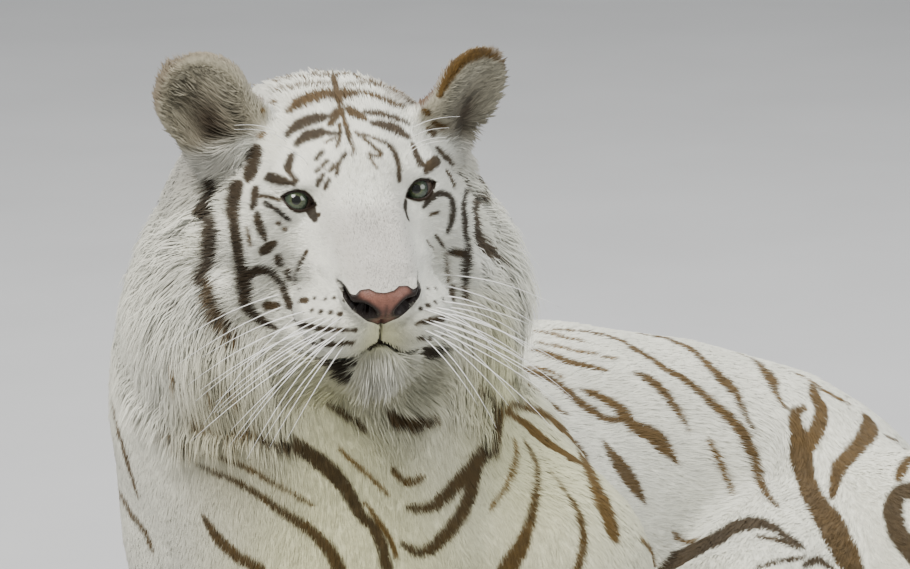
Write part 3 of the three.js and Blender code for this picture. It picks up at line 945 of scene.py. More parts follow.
def build_skin():
    """The skin's points and faces, and how far each point was sunk to open the eyes, nose and mouth."""
    points, faces, widths = surface_net(skin_field, LINES)
    points = settle(skin_field, points, 3, widths * 0.6)
    points, faces = refine(points, faces)
    h = to_head(points)
    near = ((h > HEAD_LOW) & (h < HEAD_HIGH)).all(1)
    for front in PAW_FRONTS:
        near |= np.linalg.norm(points - front, axis=1) < 80
    points[near] = settle(skin_field, points[near], 3, 2.5)
    face = on_face(points)[1]
    ways = slope(skin_field, points[face])
    ways /= np.linalg.norm(ways, axis=1, keepdims=True)
    sunk = np.zeros(len(points))
    before = points[face].copy()
    points[face] = sink(points[face], ways)
    sunk[face] = np.linalg.norm(points[face] - before, axis=1)
    return points, faces, sunk


skin_points, skin_faces, skin_sunk = build_skin()
skin_tree = BVHTree.FromPolygons(skin_points.tolist(), [list(map(int, f)) for f in skin_faces])


# ---- Markings. Each group is read off an enlargement of the view: its corner and scale, then for each
# stripe its darkness (0 the tan of the back, 1 the near-black brown of the cheeks) and x, y and width. ----
FACE_VIEW, FLANK_VIEW, BIB_VIEW = ((140, 30), 3.733), ((490, 315), 3.733), ((90, 360), 3.564)
STRIPES = {
    FACE_VIEW: [
        # cheeks, the animal's right
        (0.95, (268, 565, 40), (264, 650, 46), (266, 740, 50), (256, 850, 48), (240, 925, 34)),
        (0.75, (262, 935, 26), (280, 1030, 42), (308, 1100, 44), (360, 1160, 26)),
        (0.9, (354, 605, 52), (350, 680, 42), (356, 760, 34), (372, 860, 34), (388, 950, 46),
         (388, 1010, 38), (430, 1070, 28), (505, 1112, 16)),
        (0.9, (398, 918, 26), (436, 896, 30), (486, 902, 24), (518, 936, 22), (538, 980, 22),
         (560, 1030, 20)),
        (0.85, (516, 850, 26), (520, 872, 22)), (0.8, (553, 905, 22), (560, 925, 16)),
        (0.9, (430, 455, 44), (420, 500, 50), (412, 542, 40)),
        (0.9, (474, 548, 24), (512, 556, 32), (575, 574, 10)),
        (0.9, (566, 468, 20), (554, 505, 28), (562, 540, 16), (586, 562, 9)),
        (0.9, (430, 594, 26), (432, 622, 30), (424, 652, 22)),
        (0.8, (440, 620, 9), (480, 622, 8), (522, 634, 8)),
        (1.0, (464, 644, 9), (506, 668, 15), (554, 706, 12)),
        (0.9, (438, 692, 22), (446, 730, 30), (466, 780, 14)),
        (0.85, (452, 828, 22), (474, 816, 34), (500, 796, 22)), (0.7, (512, 720, 10), (520, 722, 10)),
        (0.7, (536, 744, 10), (544, 744, 10)), (0.6, (398, 740, 8), (412, 800, 8)),
        (0.85, (622, 828, 8), (602, 870, 10), (574, 948, 8)), (0.8, (600, 1008, 18), (622, 1012, 18)),
        (0.7, (470, 1030, 22), (512, 1028, 22)),
        # cheeks, left
        (0.95, (1060, 658, 10), (1088, 624, 16), (1122, 608, 16), (1152, 618, 16), (1168, 650, 20),
         (1164, 704, 20), (1150, 752, 9)),
        (0.7, (1084, 688, 8), (1112, 680, 8)), (0.8, (1104, 768, 9), (1132, 806, 8)),
        (0.7, (1070, 788, 6), (1092, 830, 6)),
        (0.95, (1184, 540, 16), (1200, 600, 18), (1208, 680, 20), (1214, 760, 20), (1216, 850, 26),
         (1212, 936, 22)),
        (0.85, (1222, 545, 26), (1236, 620, 30), (1244, 700, 32), (1254, 780, 38), (1280, 830, 46),
         (1316, 850, 28)),
        (0.8, (1160, 824, 18), (1200, 834, 24), (1226, 850, 20)), (0.6, (1140, 830, 6), (1150, 940, 7)),
        (0.75, (1164, 962, 18), (1166, 1000, 18)), (0.7, (1208, 960, 18), (1214, 1000, 20)),
        (0.85, (1014, 424, 10), (1030, 462, 16), (1046, 500, 24)),
        (0.75, (1066, 522, 22), (1090, 498, 34), (1112, 484, 24)),
        (0.8, (1110, 445, 18), (1136, 472, 24), (1162, 500, 16)),
        (0.7, (1148, 540, 18), (1160, 560, 22), (1166, 584, 14)), (0.7, (1078, 370, 16), (1098, 388, 20)),
        (0.65, (1000, 272, 14), (1040, 290, 20), (1078, 312, 14)), (0.7, (1096, 344, 16), (1130, 360, 20)),
        # forehead and crown
        (0.65, (706, 150, 12), (720, 180, 14), (736, 240, 18), (750, 300, 16), (770, 360, 12),
         (792, 432, 7)),
        (0.65, (686, 240, 18), (740, 244, 40), (800, 240, 22)),
        (0.6, (706, 166, 16), (740, 160, 20), (772, 168, 14)),
        (0.6, (562, 302, 22), (600, 272, 38), (650, 252, 40), (690, 238, 28)),
        (0.9, (556, 388, 18), (590, 354, 34), (640, 336, 36), (682, 328, 24)),
        (0.9, (590, 420, 22), (622, 396, 34), (664, 386, 32), (702, 384, 14), (746, 386, 8)),
        (0.7, (746, 292, 22), (728, 322, 32), (712, 352, 22)),
        (0.65, (776, 292, 22), (800, 312, 32), (842, 336, 14)),
        (0.6, (752, 250, 16), (820, 240, 18), (885, 254, 22), (930, 272, 21), (976, 290, 12)),
        (0.8, (850, 310, 16), (900, 317, 18), (960, 334, 16), (998, 352, 10)),
        (0.85, (872, 350, 16), (920, 358, 28), (960, 375, 28), (992, 398, 14)),
        (0.6, (502, 237, 7), (565, 220, 12), (622, 209, 14), (702, 206, 12)),
        (0.6, (500, 210, 7), (530, 195, 10), (587, 183, 13), (690, 176, 13)),
        (0.6, (507, 187, 7), (576, 165, 10), (633, 158, 10), (694, 156, 11)),
        (0.6, (759, 209, 9), (827, 209, 12), (885, 216, 13), (965, 232, 12), (993, 237, 7)),
        (0.6, (730, 158, 15), (770, 160, 16), (850, 174, 15), (907, 190, 12), (965, 214, 8)),
        (0.8, (762, 330, 8), (776, 400, 9), (792, 442, 6)),
        (0.7, (744, 350, 8), (746, 410, 8), (732, 438, 6)),
        (0.7, (804, 380, 7), (852, 420, 9), (902, 462, 9)),
        (0.85, (906, 416, 8), (940, 440, 12), (960, 482, 13), (968, 560, 10)),
        (0.7, (790, 470, 6), (800, 440, 6)), (0.6, (860, 480, 6), (882, 512, 6)),
        (0.7, (850, 462, 7), (896, 470, 8)), (0.7, (836, 392, 7), (884, 408, 8), (910, 420, 6)),
        (0.6, (730, 400, 7), (690, 420, 6)), (0.85, (734, 540, 8), (740, 500, 9), (768, 460, 7)),
        (0.9, (656, 484, 12), (666, 466, 15), (682, 452, 10)),
        (0.85, (658, 528, 8), (680, 506, 12), (700, 488, 9)),
        (0.9, (664, 578, 10), (672, 556, 15), (684, 540, 9)),
        (0.9, (690, 592, 9), (696, 572, 14), (704, 560, 9)), (0.8, (708, 524, 9), (724, 504, 11)),
        (0.4, (452, 300, 10), (480, 286, 16), (510, 276, 10)), (0.35, (440, 400, 10), (460, 384, 14)),
        # ears
        (0.6, (1118, 240, 20), (1150, 176, 28), (1204, 112, 30), (1270, 84, 26), (1318, 84, 16)),
        (0.6, (150, 440, 16), (158, 480, 20), (170, 510, 14)),
        # tear marks
        (1.0, (622, 650, 16), (640, 680, 26), (652, 705, 20)), (0.9, (640, 690, 14), (668, 690, 12)),
        (1.0, (992, 640, 12), (988, 664, 12), (1000, 704, 7)),
        # lips: their black skin, widened at the animal's right corner by painted shadow under the upper lip
        (1.0, (640, 1198, 8), (690, 1224, 24), (734, 1256, 46), (764, 1284, 26)),
        (1.0, (730, 1244, 26), (796, 1244, 18)), (1.0, (896, 1096, 4), (896, 1130, 5), (898, 1158, 9)),
        (1.0, (856, 1190, 7), (880, 1174, 14), (902, 1168, 22), (926, 1176, 14), (950, 1186, 7)),
        (1.0, (1026, 1192, 10), (1066, 1204, 34), (1100, 1202, 28), (1140, 1182, 12)),
        # whisker pads
        (0.9, (572, 1058, 10), (600, 1094, 15), (650, 1110, 15), (720, 1118, 14), (802, 1121, 8)),
        (0.85, (1032, 1100, 9), (1062, 1090, 15), (1106, 1080, 18), (1154, 1076, 12)),
        (0.85, (622, 1156, 7), (680, 1170, 11), (740, 1170, 11), (794, 1162, 7)),
        (0.8, (1044, 1148, 7), (1090, 1148, 10), (1140, 1134, 9)),
    ],
    FLANK_VIEW: [
        (0.35, (170, 62, 6), (220, 70, 10), (280, 85, 10), (352, 102, 6)),
        (0.25, (180, 103, 5), (260, 120, 8), (330, 138, 8), (400, 148, 5)),
        (0.25, (420, 158, 8), (470, 163, 7)),
        (0.45, (164, 130, 8), (215, 145, 20), (270, 168, 20), (340, 188, 16), (440, 210, 8)),
        (0.5, (240, 58, 8), (330, 62, 10), (420, 78, 14), (480, 95, 17), (540, 130, 19), (600, 165, 19),
         (660, 205, 19), (720, 240, 20), (780, 285, 22), (840, 340, 26), (900, 395, 30), (940, 440, 34),
         (970, 500, 38), (990, 550, 36), (1005, 610, 30), (1030, 670, 20), (1075, 720, 8)),
        (0.5, (560, 60, 10), (620, 75, 15), (690, 105, 22), (750, 130, 26), (790, 165, 28), (830, 205, 30),
         (880, 255, 34), (915, 295, 28), (940, 345, 18), (965, 400, 13), (990, 436, 8)),
        (0.5, (925, 148, 8), (980, 170, 14), (1018, 200, 30), (1045, 236, 48), (1062, 280, 22),
         (1080, 320, 16), (1102, 348, 10)),
        (0.5, (1205, 265, 24), (1215, 310, 38), (1236, 360, 44), (1226, 420, 46), (1195, 470, 60)),
        (0.5, (1170, 348, 22), (1138, 374, 38), (1146, 430, 46), (1168, 490, 70)),
        (0.6, (1165, 480, 76), (1160, 540, 72), (1175, 600, 60), (1195, 660, 66), (1230, 720, 84),
         (1262, 770, 96), (1290, 830, 92), (1320, 890, 80), (1350, 945, 60)),
        (0.55, (1412, 388, 44), (1420, 420, 58), (1396, 470, 56), (1352, 520, 56), (1312, 565, 56),
         (1292, 620, 36), (1276, 684, 16)),
        (0.5, (1572, 535, 30), (1545, 570, 36), (1528, 614, 24)),
        (0.8, (1600, 650, 50), (1524, 672, 54), (1505, 722, 60), (1515, 780, 60), (1540, 840, 58),
         (1590, 900, 60)),
        (0.4, (1240, 285, 10), (1290, 310, 16), (1332, 332, 10)),
        (0.35, (1100, 205, 5), (1180, 240, 7), (1240, 280, 8)), (0.6, (1480, 458, 16), (1520, 476, 24)),
        (0.5, (545, 222, 10), (580, 235, 22), (620, 262, 27), (660, 305, 28), (695, 350, 26),
         (720, 390, 15), (742, 432, 8)),
        (0.5, (104, 196, 8), (160, 215, 17), (220, 240, 24), (280, 280, 28), (330, 325, 28), (380, 360, 25),
         (430, 388, 20), (500, 395, 16)),
        (0.45, (345, 283, 12), (390, 300, 24), (440, 325, 27), (480, 350, 32), (510, 385, 38),
         (540, 422, 40), (580, 440, 48), (620, 462, 58), (650, 492, 44), (692, 548, 14)),
        (0.25, (150, 195, 7), (230, 215, 11), (266, 236, 7)),
        (0.5, (44, 246, 16), (110, 265, 24), (170, 300, 24), (220, 335, 21), (284, 372, 9)),
        (0.5, (10, 330, 18), (80, 338, 23), (150, 355, 30), (210, 385, 35), (260, 425, 36), (300, 470, 38),
         (340, 530, 42), (370, 590, 44), (400, 660, 46), (430, 730, 52), (462, 826, 34)),
        (0.5, (24, 348, 18), (90, 380, 26), (150, 425, 25), (200, 470, 24), (260, 510, 28), (312, 545, 30)),
        (0.55, (425, 475, 10), (450, 515, 24), (480, 560, 40), (510, 600, 48), (540, 640, 42),
         (578, 698, 12)),
        (0.35, (560, 840, 14), (590, 880, 28), (602, 935, 24)),
        (0.4, (690, 820, 14), (740, 850, 18), (780, 830, 10)),
        (0.3, (820, 470, 12), (856, 548, 22), (884, 606, 18), (906, 668, 14)),
        (0.85, (640, 948, 20), (700, 920, 44), (760, 890, 58), (830, 850, 56), (900, 805, 48),
         (980, 780, 42), (1060, 800, 32), (1120, 840, 20), (1172, 872, 10)),
        (0.8, (1000, 830, 10), (1080, 845, 15), (1150, 872, 9)),
        (0.85, (1000, 945, 10), (1060, 927, 15), (1130, 914, 16), (1174, 905, 8)),
        (0.85, (1170, 940, 16), (1220, 918, 26), (1272, 944, 18)),
        (0.4, (92, 466, 8), (100, 520, 16), (90, 580, 18), (60, 650, 16), (20, 700, 12), (0, 730, 8)),
        (0.65, (132, 476, 6), (165, 530, 13), (178, 590, 16), (175, 660, 20), (160, 740, 26),
         (140, 810, 34), (110, 880, 46), (66, 950, 60)),
        (0.65, (226, 586, 4), (280, 660, 8), (320, 720, 15), (345, 790, 21), (350, 850, 24), (336, 920, 26),
         (322, 960, 26)),
    ],
    BIB_VIEW: [
        (0.6, (455, 50, 14), (470, 80, 18), (480, 110, 12)), (0.55, (518, 88, 12), (542, 118, 14)),
        (0.15, (320, -20, 8), (340, 20, 12), (345, 60, 8)),
        (0.5, (400, 186, 30), (450, 220, 40), (520, 243, 40), (590, 240, 32)),
        (0.85, (590, 235, 30), (640, 262, 36), (700, 285, 40), (760, 320, 44), (820, 365, 46),
         (870, 410, 46), (910, 460, 42), (940, 510, 38), (970, 560, 32), (1010, 602, 30), (1040, 655, 34),
         (1052, 720, 32), (1062, 750, 30)),
        (0.5, (980, 510, 8), (1030, 580, 14), (1070, 640, 15), (1092, 704, 10)),
        (0.6, (270, 232, 8), (330, 265, 13), (390, 308, 13), (450, 340, 14), (510, 365, 14), (570, 390, 13),
         (630, 425, 13), (690, 460, 12), (740, 490, 9), (796, 521, 6)),
        (0.75, (385, 370, 7), (430, 395, 11), (490, 420, 15), (550, 450, 18), (600, 480, 20),
         (650, 515, 22), (700, 550, 25), (750, 585, 29), (800, 622, 32), (840, 665, 36), (870, 710, 40),
         (888, 750, 40)),
        (0.7, (405, 560, 10), (430, 600, 23), (460, 640, 30), (500, 680, 34), (550, 716, 36),
         (614, 750, 32)),
        (0.8, (1352, 84, 20), (1412, 130, 32), (1428, 190, 40), (1426, 250, 42), (1408, 310, 48),
         (1380, 362, 56), (1346, 404, 48), (1300, 450, 42), (1258, 496, 38), (1204, 530, 30),
         (1132, 530, 14)),
        (0.8, (1376, 390, 34), (1360, 460, 38), (1330, 540, 42), (1280, 612, 42), (1210, 680, 34),
         (1160, 688, 26), (1112, 656, 12)),
        (0.6, (1080, 388, 12), (1108, 428, 20), (1150, 440, 20), (1192, 418, 10)),
        (0.8, (1062, 186, 24), (1092, 218, 38), (1150, 234, 42), (1224, 220, 24)),
        (0.7, (850, 160, 14), (900, 190, 20), (950, 220, 20), (982, 252, 10)),
        (0.35, (890, 320, 7), (950, 375, 10), (1010, 430, 10), (1062, 482, 6)),
        (0.6, (60, 106, 8), (52, 180, 13), (50, 260, 15), (60, 340, 16), (80, 420, 18), (120, 490, 20),
         (160, 560, 18), (200, 612, 14), (226, 684, 8)),
        (0.6, (92, 86, 8), (95, 180, 12), (110, 260, 14), (130, 330, 15), (150, 400, 16), (176, 482, 8)),
    ],
}
PAD_DOTS = [  # rows of dark dots on the whisker pads, in the face view: from, to, how many, width
    ((640, 1048), (742, 1060), 4, 13), ((700, 1118), (800, 1121), 3, 12), ((646, 1150), (780, 1172), 5, 10),
    ((600, 970), (608, 972), 1, 12), ((650, 1002), (690, 1006), 2, 9), ((1046, 1040), (1130, 1004), 4, 11),
    ((1074, 966), (1102, 966), 2, 9), ((1050, 1144), (1110, 1142), 3, 10), ((722, 1000), (760, 1010), 2, 7),
]
# Stripes round what the view hides: name, darkness, width, how many, waviness, points of the axis, reach
RINGS = [
    ("trunk", 0.55, 17.0, 18, 15.0,
     ((-80, 10, 420), (20, 110, 240), (160, 330, 205), (300, 420, 190), (440, 468, 152), (620, 512, 114)),
     330.0),
    ("neck", 0.55, 13.0, 5, 12.0, ((-78, -100, 700), (-76, -90, 580), (-84, -20, 450)), 280.0),
    ("left thigh", 0.65, 16.0, 7, 8.0, ((470, 400, 178), (580, 270, 180), (640, 130, 165)), 190.0),
    ("left shin", 0.7, 12.0, 6, 5.0, ((660, 110, 150), (820, -20, 45), (770, -90, 40)), 130.0),
    ("right thigh", 0.6, 16.0, 6, 8.0, ((470, 370, 140), (415, 220, 140), (378, 95, 148)), 190.0),
    ("right shin", 0.7, 12.0, 6, 5.0, ((385, 95, 100), (585, -50, 45), (535, -120, 40)), 130.0),
    ("left upper arm", 0.55, 12.0, 5, 7.0, ((95, -30, 350), (160, -150, 275), (215, -60, 100)), 150.0),
    ("right upper arm", 0.55, 12.0, 5, 7.0, ((-186, 70, 415), (-186, -30, 300), (-200, 50, 100)), 150.0),
    ("left forearm", 0.55, 9.0, 5, 5.0, ((215, -90, 70), (212, -350, 50)), 100.0),
    ("right forearm", 0.55, 9.0, 5, 5.0, ((-200, 20, 70), (-178, -245, 50)), 100.0),
    ("tail", 0.85, 25.0, 11, 2.5, TAIL_POINTS[1:], 80.0),
    ("skull", 0.5, 9.0, 4, 7.0, from_head([(0, 110, 10), (0, 150, -10), (0, 190, -40)]), 200.0),
]
LEAN_WAVES = ((2.0, 1.0), (5.0, 0.45), (9.0, 0.12))  # waves round a ring: how many, how strong
# The hair beside a stripe covers its edges, so that it is laid wider by this factor, and by this much
STRIPE_GROWTH, STRIPE_MARGIN = 1.22, 0.7


STROKE_STEP = 6.0  # millimetres between the points of a stripe


class Stroke:
    """A stripe on the skin: a bent line in space, with its half width all along, and its darkness."""

    def __init__(self, line, widths, dark):
        """The line's points, the width at each of them, and the darkness."""
        lengths = lengths_along(line)
        steps = max(3, int(np.linalg.norm(np.diff(line, axis=0), axis=1).sum() / STROKE_STEP))
        self.line = evenly(line, steps)
        full = np.interp(np.linspace(0, lengths[-1], steps), lengths, widths)
        self.half = full * STRIPE_GROWTH / 2 + STRIPE_MARGIN
        self.dark = dark
        margin = self.half.max() + STROKE_STEP
        self.low, self.high = self.line.min(0) - margin, self.line.max(0) + margin

    def depth(self, points):
        """How far inside the stripe's edge points are, in millimetres."""
        best = np.full(len(points), -FAR)
        for a, b, ra, rb in zip(self.line, self.line[1:], self.half, self.half[1:]):
            away, t = to_segment(points, a, b)
            best = np.maximum(best, ra + (rb - ra) * t - away)
        return best


STRIPE_BREAK = 60.0  # a jump in depth of this much ends a stripe
LEAST_SHOWN = 0.5  # a stripe seen edge on is widened by no more than this allows
LOWERED = (0.0, 2.0, 4.0, 6.0, 8.0)  # pixels: a point read just above the outline is laid just below it


def on_skin(pixels, tree):
    """Where rays through the view's pixels meet the skin, and the way the skin faces there, or None."""
    found = []
    for x, y in pixels:
        for lower in LOWERED:
            hit, normal = tree.ray_cast(Vector(VIEW_FROM), Vector(ray_through(x, y + lower)))[:2]
            if hit is not None:
                break
        found.append(None if hit is None else (np.array(hit), np.array(normal)))
    return found


def true_width(before, here, after, normal, width):
    """A stripe's width on the skin, from its width in the view."""
    across = np.cross(normal, after - before)
    across /= np.linalg.norm(across) + 1e-9
    ahead = (here - VIEW_FROM) / np.linalg.norm(here - VIEW_FROM)
    shown = np.linalg.norm(across - (across @ ahead) * ahead)
    return width / max(shown, LEAST_SHOWN) * np.linalg.norm(here - VIEW_FROM) / VIEW_FOCAL


def seen_stripes(tree):
    """The stripes that the view shows, laid on the skin where their points of the view fall."""
    strokes = []
    for ((left, top), scale), group in STRIPES.items():
        for dark, *traced in group:
            traced = np.array(traced, float)
            count = max(4, int(np.linalg.norm(np.diff(traced[:, :2], axis=0), axis=1).sum() / scale / 4))
            bent = evenly(centripetal(traced, 8), count) / scale
            runs = [[]]
            for hit, width in zip(on_skin(bent[:, :2] + (left, top), tree), bent[:, 2]):
                if hit is None or (runs[-1] and np.linalg.norm(hit[0] - runs[-1][-1][0]) > STRIPE_BREAK):
                    runs.append([])
                if hit is not None:
                    runs[-1].append((*hit, width))
            for run in runs:
                if len(run) < 2:
                    continue
                line = np.array([hit for hit, _, _ in run])
                ends = [line[0], *line, line[-1]]
                widths = [
                    true_width(ends[k], hit, ends[k + 2], normal, width)
                    for k, (hit, normal, width) in enumerate(run)
                ]
                strokes.append(Stroke(line, widths, dark))
    (left, top), scale = FACE_VIEW
    for start, end, count, width in PAD_DOTS:
        spots = [np.array(start) + (np.array(end) - start) * k / max(count - 1, 1) for k in range(count)]
        for hit in on_skin([spot / scale + (left, top) for spot in spots], tree):
            if hit is not None:
                strokes.append(Stroke(np.array([hit[0], hit[0] + (1.5, 0, 0)]), [width / scale] * 2, 0.95))
    return strokes


BEHIND = 14.0  # a point this far from what a ray to it meets is hidden


def hidden_from_view(points, tree):
    """True where the view doesn't show a point of the skin."""
    hidden = []
    for p in points:
        ray = p - VIEW_FROM
        ahead = ray @ VIEW_AHEAD
        x = FRAME_WIDTH / 2 + VIEW_FOCAL * (ray @ VIEW_RIGHT) / ahead
        y = FRAME_HEIGHT / 2 - VIEW_FOCAL * (ray @ VIEW_UP) / ahead
        inside = 0 < x < FRAME_WIDTH and 0 < y < FRAME_HEIGHT
        hit = tree.ray_cast(Vector(VIEW_FROM), Vector(ray / np.linalg.norm(ray))) if inside else None
        hidden.append(not inside or hit[0] is None or np.linalg.norm(np.array(hit[0]) - p) > BEHIND)
    return np.array(hidden)


RING_STEPS, AXIS_STEPS = 56, 60
RING_SPACE = 19.0  # rings keep this far from the stripes already there
RING_JUMP = 45  # a jump of this much between two points of a ring breaks it
RING_DRIFT, STATION_DRIFT = 0.35, 0.12  # how far a ring's waves and its place differ from an even row's
RING_SHARES = (0.55, 0.9)  # how much of a turn a ring makes, but on the trunk and the tail, where it is whole


def ring_stripes(tree, strokes):
    """Stripes round the trunk, legs and tail, kept where the view doesn't reach and no stripe is yet."""
    random = np.random.default_rng(RING_SEED)
    strokes = list(strokes)
    known = np.concatenate([stroke.line for stroke in strokes])
    for name, dark, width, rings, wavy, axis, reach in RINGS:
        line = evenly(centripetal(np.array(axis, float)), AXIS_STEPS)
        phase = random.uniform(0, 6.3, len(LEAN_WAVES))
        fresh = [np.zeros((0, 3))]
        for ring in range(rings):
            phase = phase + random.uniform(-RING_DRIFT, RING_DRIFT, len(LEAN_WAVES))
            place = ring + 0.5 + random.uniform(-STATION_DRIFT, STATION_DRIFT)
            station = place / rings * (AXIS_STEPS - 1)
            start = random.uniform(0, 2 * math.pi)
            share = 1.0 if name in ("tail", "trunk") else random.uniform(*RING_SHARES)
            points = []
            for angle in start + share * 2 * math.pi * np.linspace(0, 1, RING_STEPS):
                sway = sum(s * math.sin(k * angle + f) for (k, s), f in zip(LEAN_WAVES, phase))
                at = np.clip(station + sway * wavy / 6, 0.5, AXIS_STEPS - 1.5)
                low = int(at)
                origin = line[low] + (line[low + 1] - line[low]) * (at - low)
                along = line[low + 1] - line[low]
                along /= np.linalg.norm(along)
                side = np.cross(along, (0, 0, 1.0))
                side /= np.linalg.norm(side) + 1e-9
                way = math.cos(angle) * side + math.sin(angle) * np.cross(side, along)
                hit = tree.ray_cast(Vector(origin), Vector(way), reach)[0]
                points.append(None if hit is None else np.array(hit))
            run = []
            for point in [*points, None]:
                near = point is not None and np.linalg.norm(known - point, axis=1).min() < RING_SPACE
                if point is None or near or (run and np.linalg.norm(point - run[-1]) > RING_JUMP):
                    for part in kept_runs(run, tree):
                        taper = np.sin(np.linspace(0.12, math.pi - 0.12, len(part))) ** 0.6
                        swell = 1 + 0.3 * np.sin(np.linspace(0, 9, len(part)) + random.uniform(0, 6))
                        widths = width * random.uniform(0.75, 1.2) * taper * swell
                        strokes.append(Stroke(part, widths, dark * random.uniform(0.85, 1.15)))
                        fresh.append(part)
                    run = []
                if point is not None and not near:
                    run.append(point)
        known = np.concatenate([known, *fresh])
    return strokes


FEWEST = 5  # points in the shortest stretch of a ring that is kept


def kept_runs(run, tree):
    """The parts of a run of points that the view doesn't show."""
    if len(run) < FEWEST:
        return []
    hidden = hidden_from_view(run, tree)
    parts = np.split(np.arange(len(run)), np.flatnonzero(np.diff(hidden)) + 1)
    return [np.array([run[i] for i in part]) for part in parts if hidden[part[0]] and len(part) >= FEWEST]


def wobble(points, size):
    """A smooth pattern between -1 and 1, of waves about this long."""
    q = points / size * 2 * math.pi
    x, y, z = q.T
    return (
        np.sin(x + 1.7 * np.sin(0.6 * y + 1.1)) + np.sin(1.13 * y + 1.5 * np.sin(0.7 * z + 2.3))
        + np.sin(0.91 * z + 1.6 * np.sin(0.8 * x + 0.4))
    ) / 3


def stripe_at(points, strokes, soft=1.3):
    """How much of a stripe each point shows, from 0 to 1, and how dark that stripe is."""
    ragged = 0.55 * wobble(points, 7.0) + 0.75 * wobble(points + 37.0, 19.0)
    amount, dark = np.zeros(len(points)), np.zeros(len(points))
    for stroke in strokes:
        near = np.flatnonzero(((points > stroke.low) & (points < stroke.high)).all(1))
        if not len(near):
            continue
        loose = min(stroke.half.max() / 4.0, 1.0)
        shown = np.clip(0.5 + (stroke.depth(points[near]) / loose + ragged[near]) * loose / soft / 1.4, 0, 1)
        more = shown > amount[near]
        amount[near[more]] = shown[more]
        dark[near[more]] = stroke.dark
    return amount, dark


# ---- Colours, as light itself (linear) ----
WHITE = (0.81, 0.80, 0.68)
FACE_WHITE = (0.84, 0.835, 0.74)
# the cream of the under-parts, darkened and yellowed with painted shade and painted green-yellow bounce light
CREAM_AND_PAINTED_SHADE = (0.60, 0.585, 0.37)
# painted shadow on the neck below the ruff's edge
PAINTED_RUFF_SHADOW = (0.38, 0.35, 0.22)
# painted shade, laid under the jaw and chin
PAINTED_SHADE = (0.38, 0.365, 0.26)
GREY = (0.40, 0.385, 0.335)
MUZZLE_GREY = (0.50, 0.475, 0.43)
CHIN = (0.60, 0.59, 0.50)
EAR_INNER = (0.34, 0.315, 0.235)
EAR_BACK = (0.13, 0.08, 0.05)
# painted shade in the ears' hollows
EAR_HOLLOW_SHADE = (0.026, 0.014, 0.007)
TAN = np.array((0.195, 0.099, 0.008))
DARK = np.array((0.0175, 0.0088, 0.0020))
LEATHER_PINK = (0.17, 0.076, 0.055)
LEATHER_DARK = (0.011, 0.006, 0.004)
# Each row: two ends of a stretch of the body, and the colour of its coat between the stripes, with painted
# shade on the under-parts and under the jaw
HEAD_TINTS = [
    ((0, 40, 60), (0, 110, 70), FACE_WHITE),
    ((0, -90, -40), (0, -40, -16), MUZZLE_GREY),
    ((0, -20, 4), (0, 20, 40), FACE_WHITE),
    ((0, -96, -110), (0, -96, -120), CREAM_AND_PAINTED_SHADE),
    ((0, -100, -150), (0, -80, -180), CHIN),
    # painted shade under the jaw
    ((0, -60, -190), (0, 20, -210), PAINTED_SHADE),
]
BODY_TINTS = [
    ((-50, -330, 500), (-40, -300, 330), CREAM_AND_PAINTED_SHADE),
    ((-20, -270, 250), (40, -180, 60), CREAM_AND_PAINTED_SHADE),
    ((-230, -150, 500), (-260, -60, 300), WHITE),
    ((80, -180, 520), (130, -150, 400), CREAM_AND_PAINTED_SHADE),
    ((-60, 100, 560), (200, 400, 380), WHITE),
    ((200, 400, 380), (560, 520, 240), WHITE),
    ((100, 0, 300), (400, 300, 240), WHITE),
    ((60, -60, 90), (380, 180, 60), CREAM_AND_PAINTED_SHADE),
    ((215, -60, 90), (210, -520, 40), WHITE),
    ((-200, 40, 90), (-170, -420, 40), WHITE),
    ((600, 250, 230), (760, -80, 50), WHITE),
    ((400, 200, 230), (520, -120, 50), WHITE),
    ((760, 575, 52), (1090, 340, 27), WHITE),
]
PAIRED_TINTS = [  # on the left of the head, and mirrored on its right
    ((30, -80, -60), (34, -40, -44), FACE_WHITE),
    ((50, -80, -96), (70, -30, -100), FACE_WHITE),
    ((70, 0, 0), (90, 60, 30), FACE_WHITE),
    ((90, 20, -50), (120, 60, -90), FACE_WHITE),
    ((130, 100, -60), (160, 110, -180), WHITE),
    # painted shadow below the ruff
    ((90, 50, -190), (100, 60, -240), PAINTED_RUFF_SHADOW),
    ((15, -94, -46), (15, -44, -22), MUZZLE_GREY),
    ((112, 110, 26), (130, 140, -10), GREY),
]
TINTS = stretches(HEAD_TINTS, in_head) + stretches(BODY_TINTS, in_world)
for side in SIDES:
    TINTS += stretches(PAIRED_TINTS, in_head, side)
TINT_A = np.array([t[0] for t in TINTS])
TINT_B = np.array([t[1] for t in TINTS])
TINT_COLOUR = np.array([t[2] for t in TINTS])
TINT_NEAR, TINT_SHARPNESS = 8.0, 4.0


def tint_at(points):
    """The coat's colour between the stripes, painted shade included, mixed from the nearest stretches of the
    body.
    """
    colour, total = np.zeros((len(points), 3)), np.zeros((len(points), 1))
    for a, b, tint in zip(TINT_A, TINT_B, TINT_COLOUR):
        weight = (to_segment(points, a, b)[0][:, None] + TINT_NEAR) ** -TINT_SHARPNESS
        colour += weight * tint
        total += weight
    return colour / total


def mixed(colour, other, share):
    return colour + (np.array(other) - colour) * share[:, None]


# The ears' colours, by how far out from a leaf's middle and how far up: 1 is its rim
LEAF_RIM, LEAF_FOOT = (1.15, 1.4), (-0.85, -0.5)
LEAF_BEHIND = (3, 10)  # millimetres behind the leaf's middle
BROWN_RIM, BROWN_FOOT = (1.04, 1.18), (-0.6, -0.25)
EDGE_RIM, EDGE_FOOT, EDGE_SHARE = (0.9, 1.0), (-0.2, 0.3), 0.55
# the HOLLOW_ sizes place the painted shade in each ear's hollow
HOLLOW_ACROSS, HOLLOW_DOWN, HOLLOW_WIDE, HOLLOW_REACH, HOLLOW_SHARE = 0.02, 0.3, 0.85, 0.72, 0.92
SPOT_UP, SPOT_RIM, SPOT_SHARE = 0.1, (0.22, 0.4), 0.9


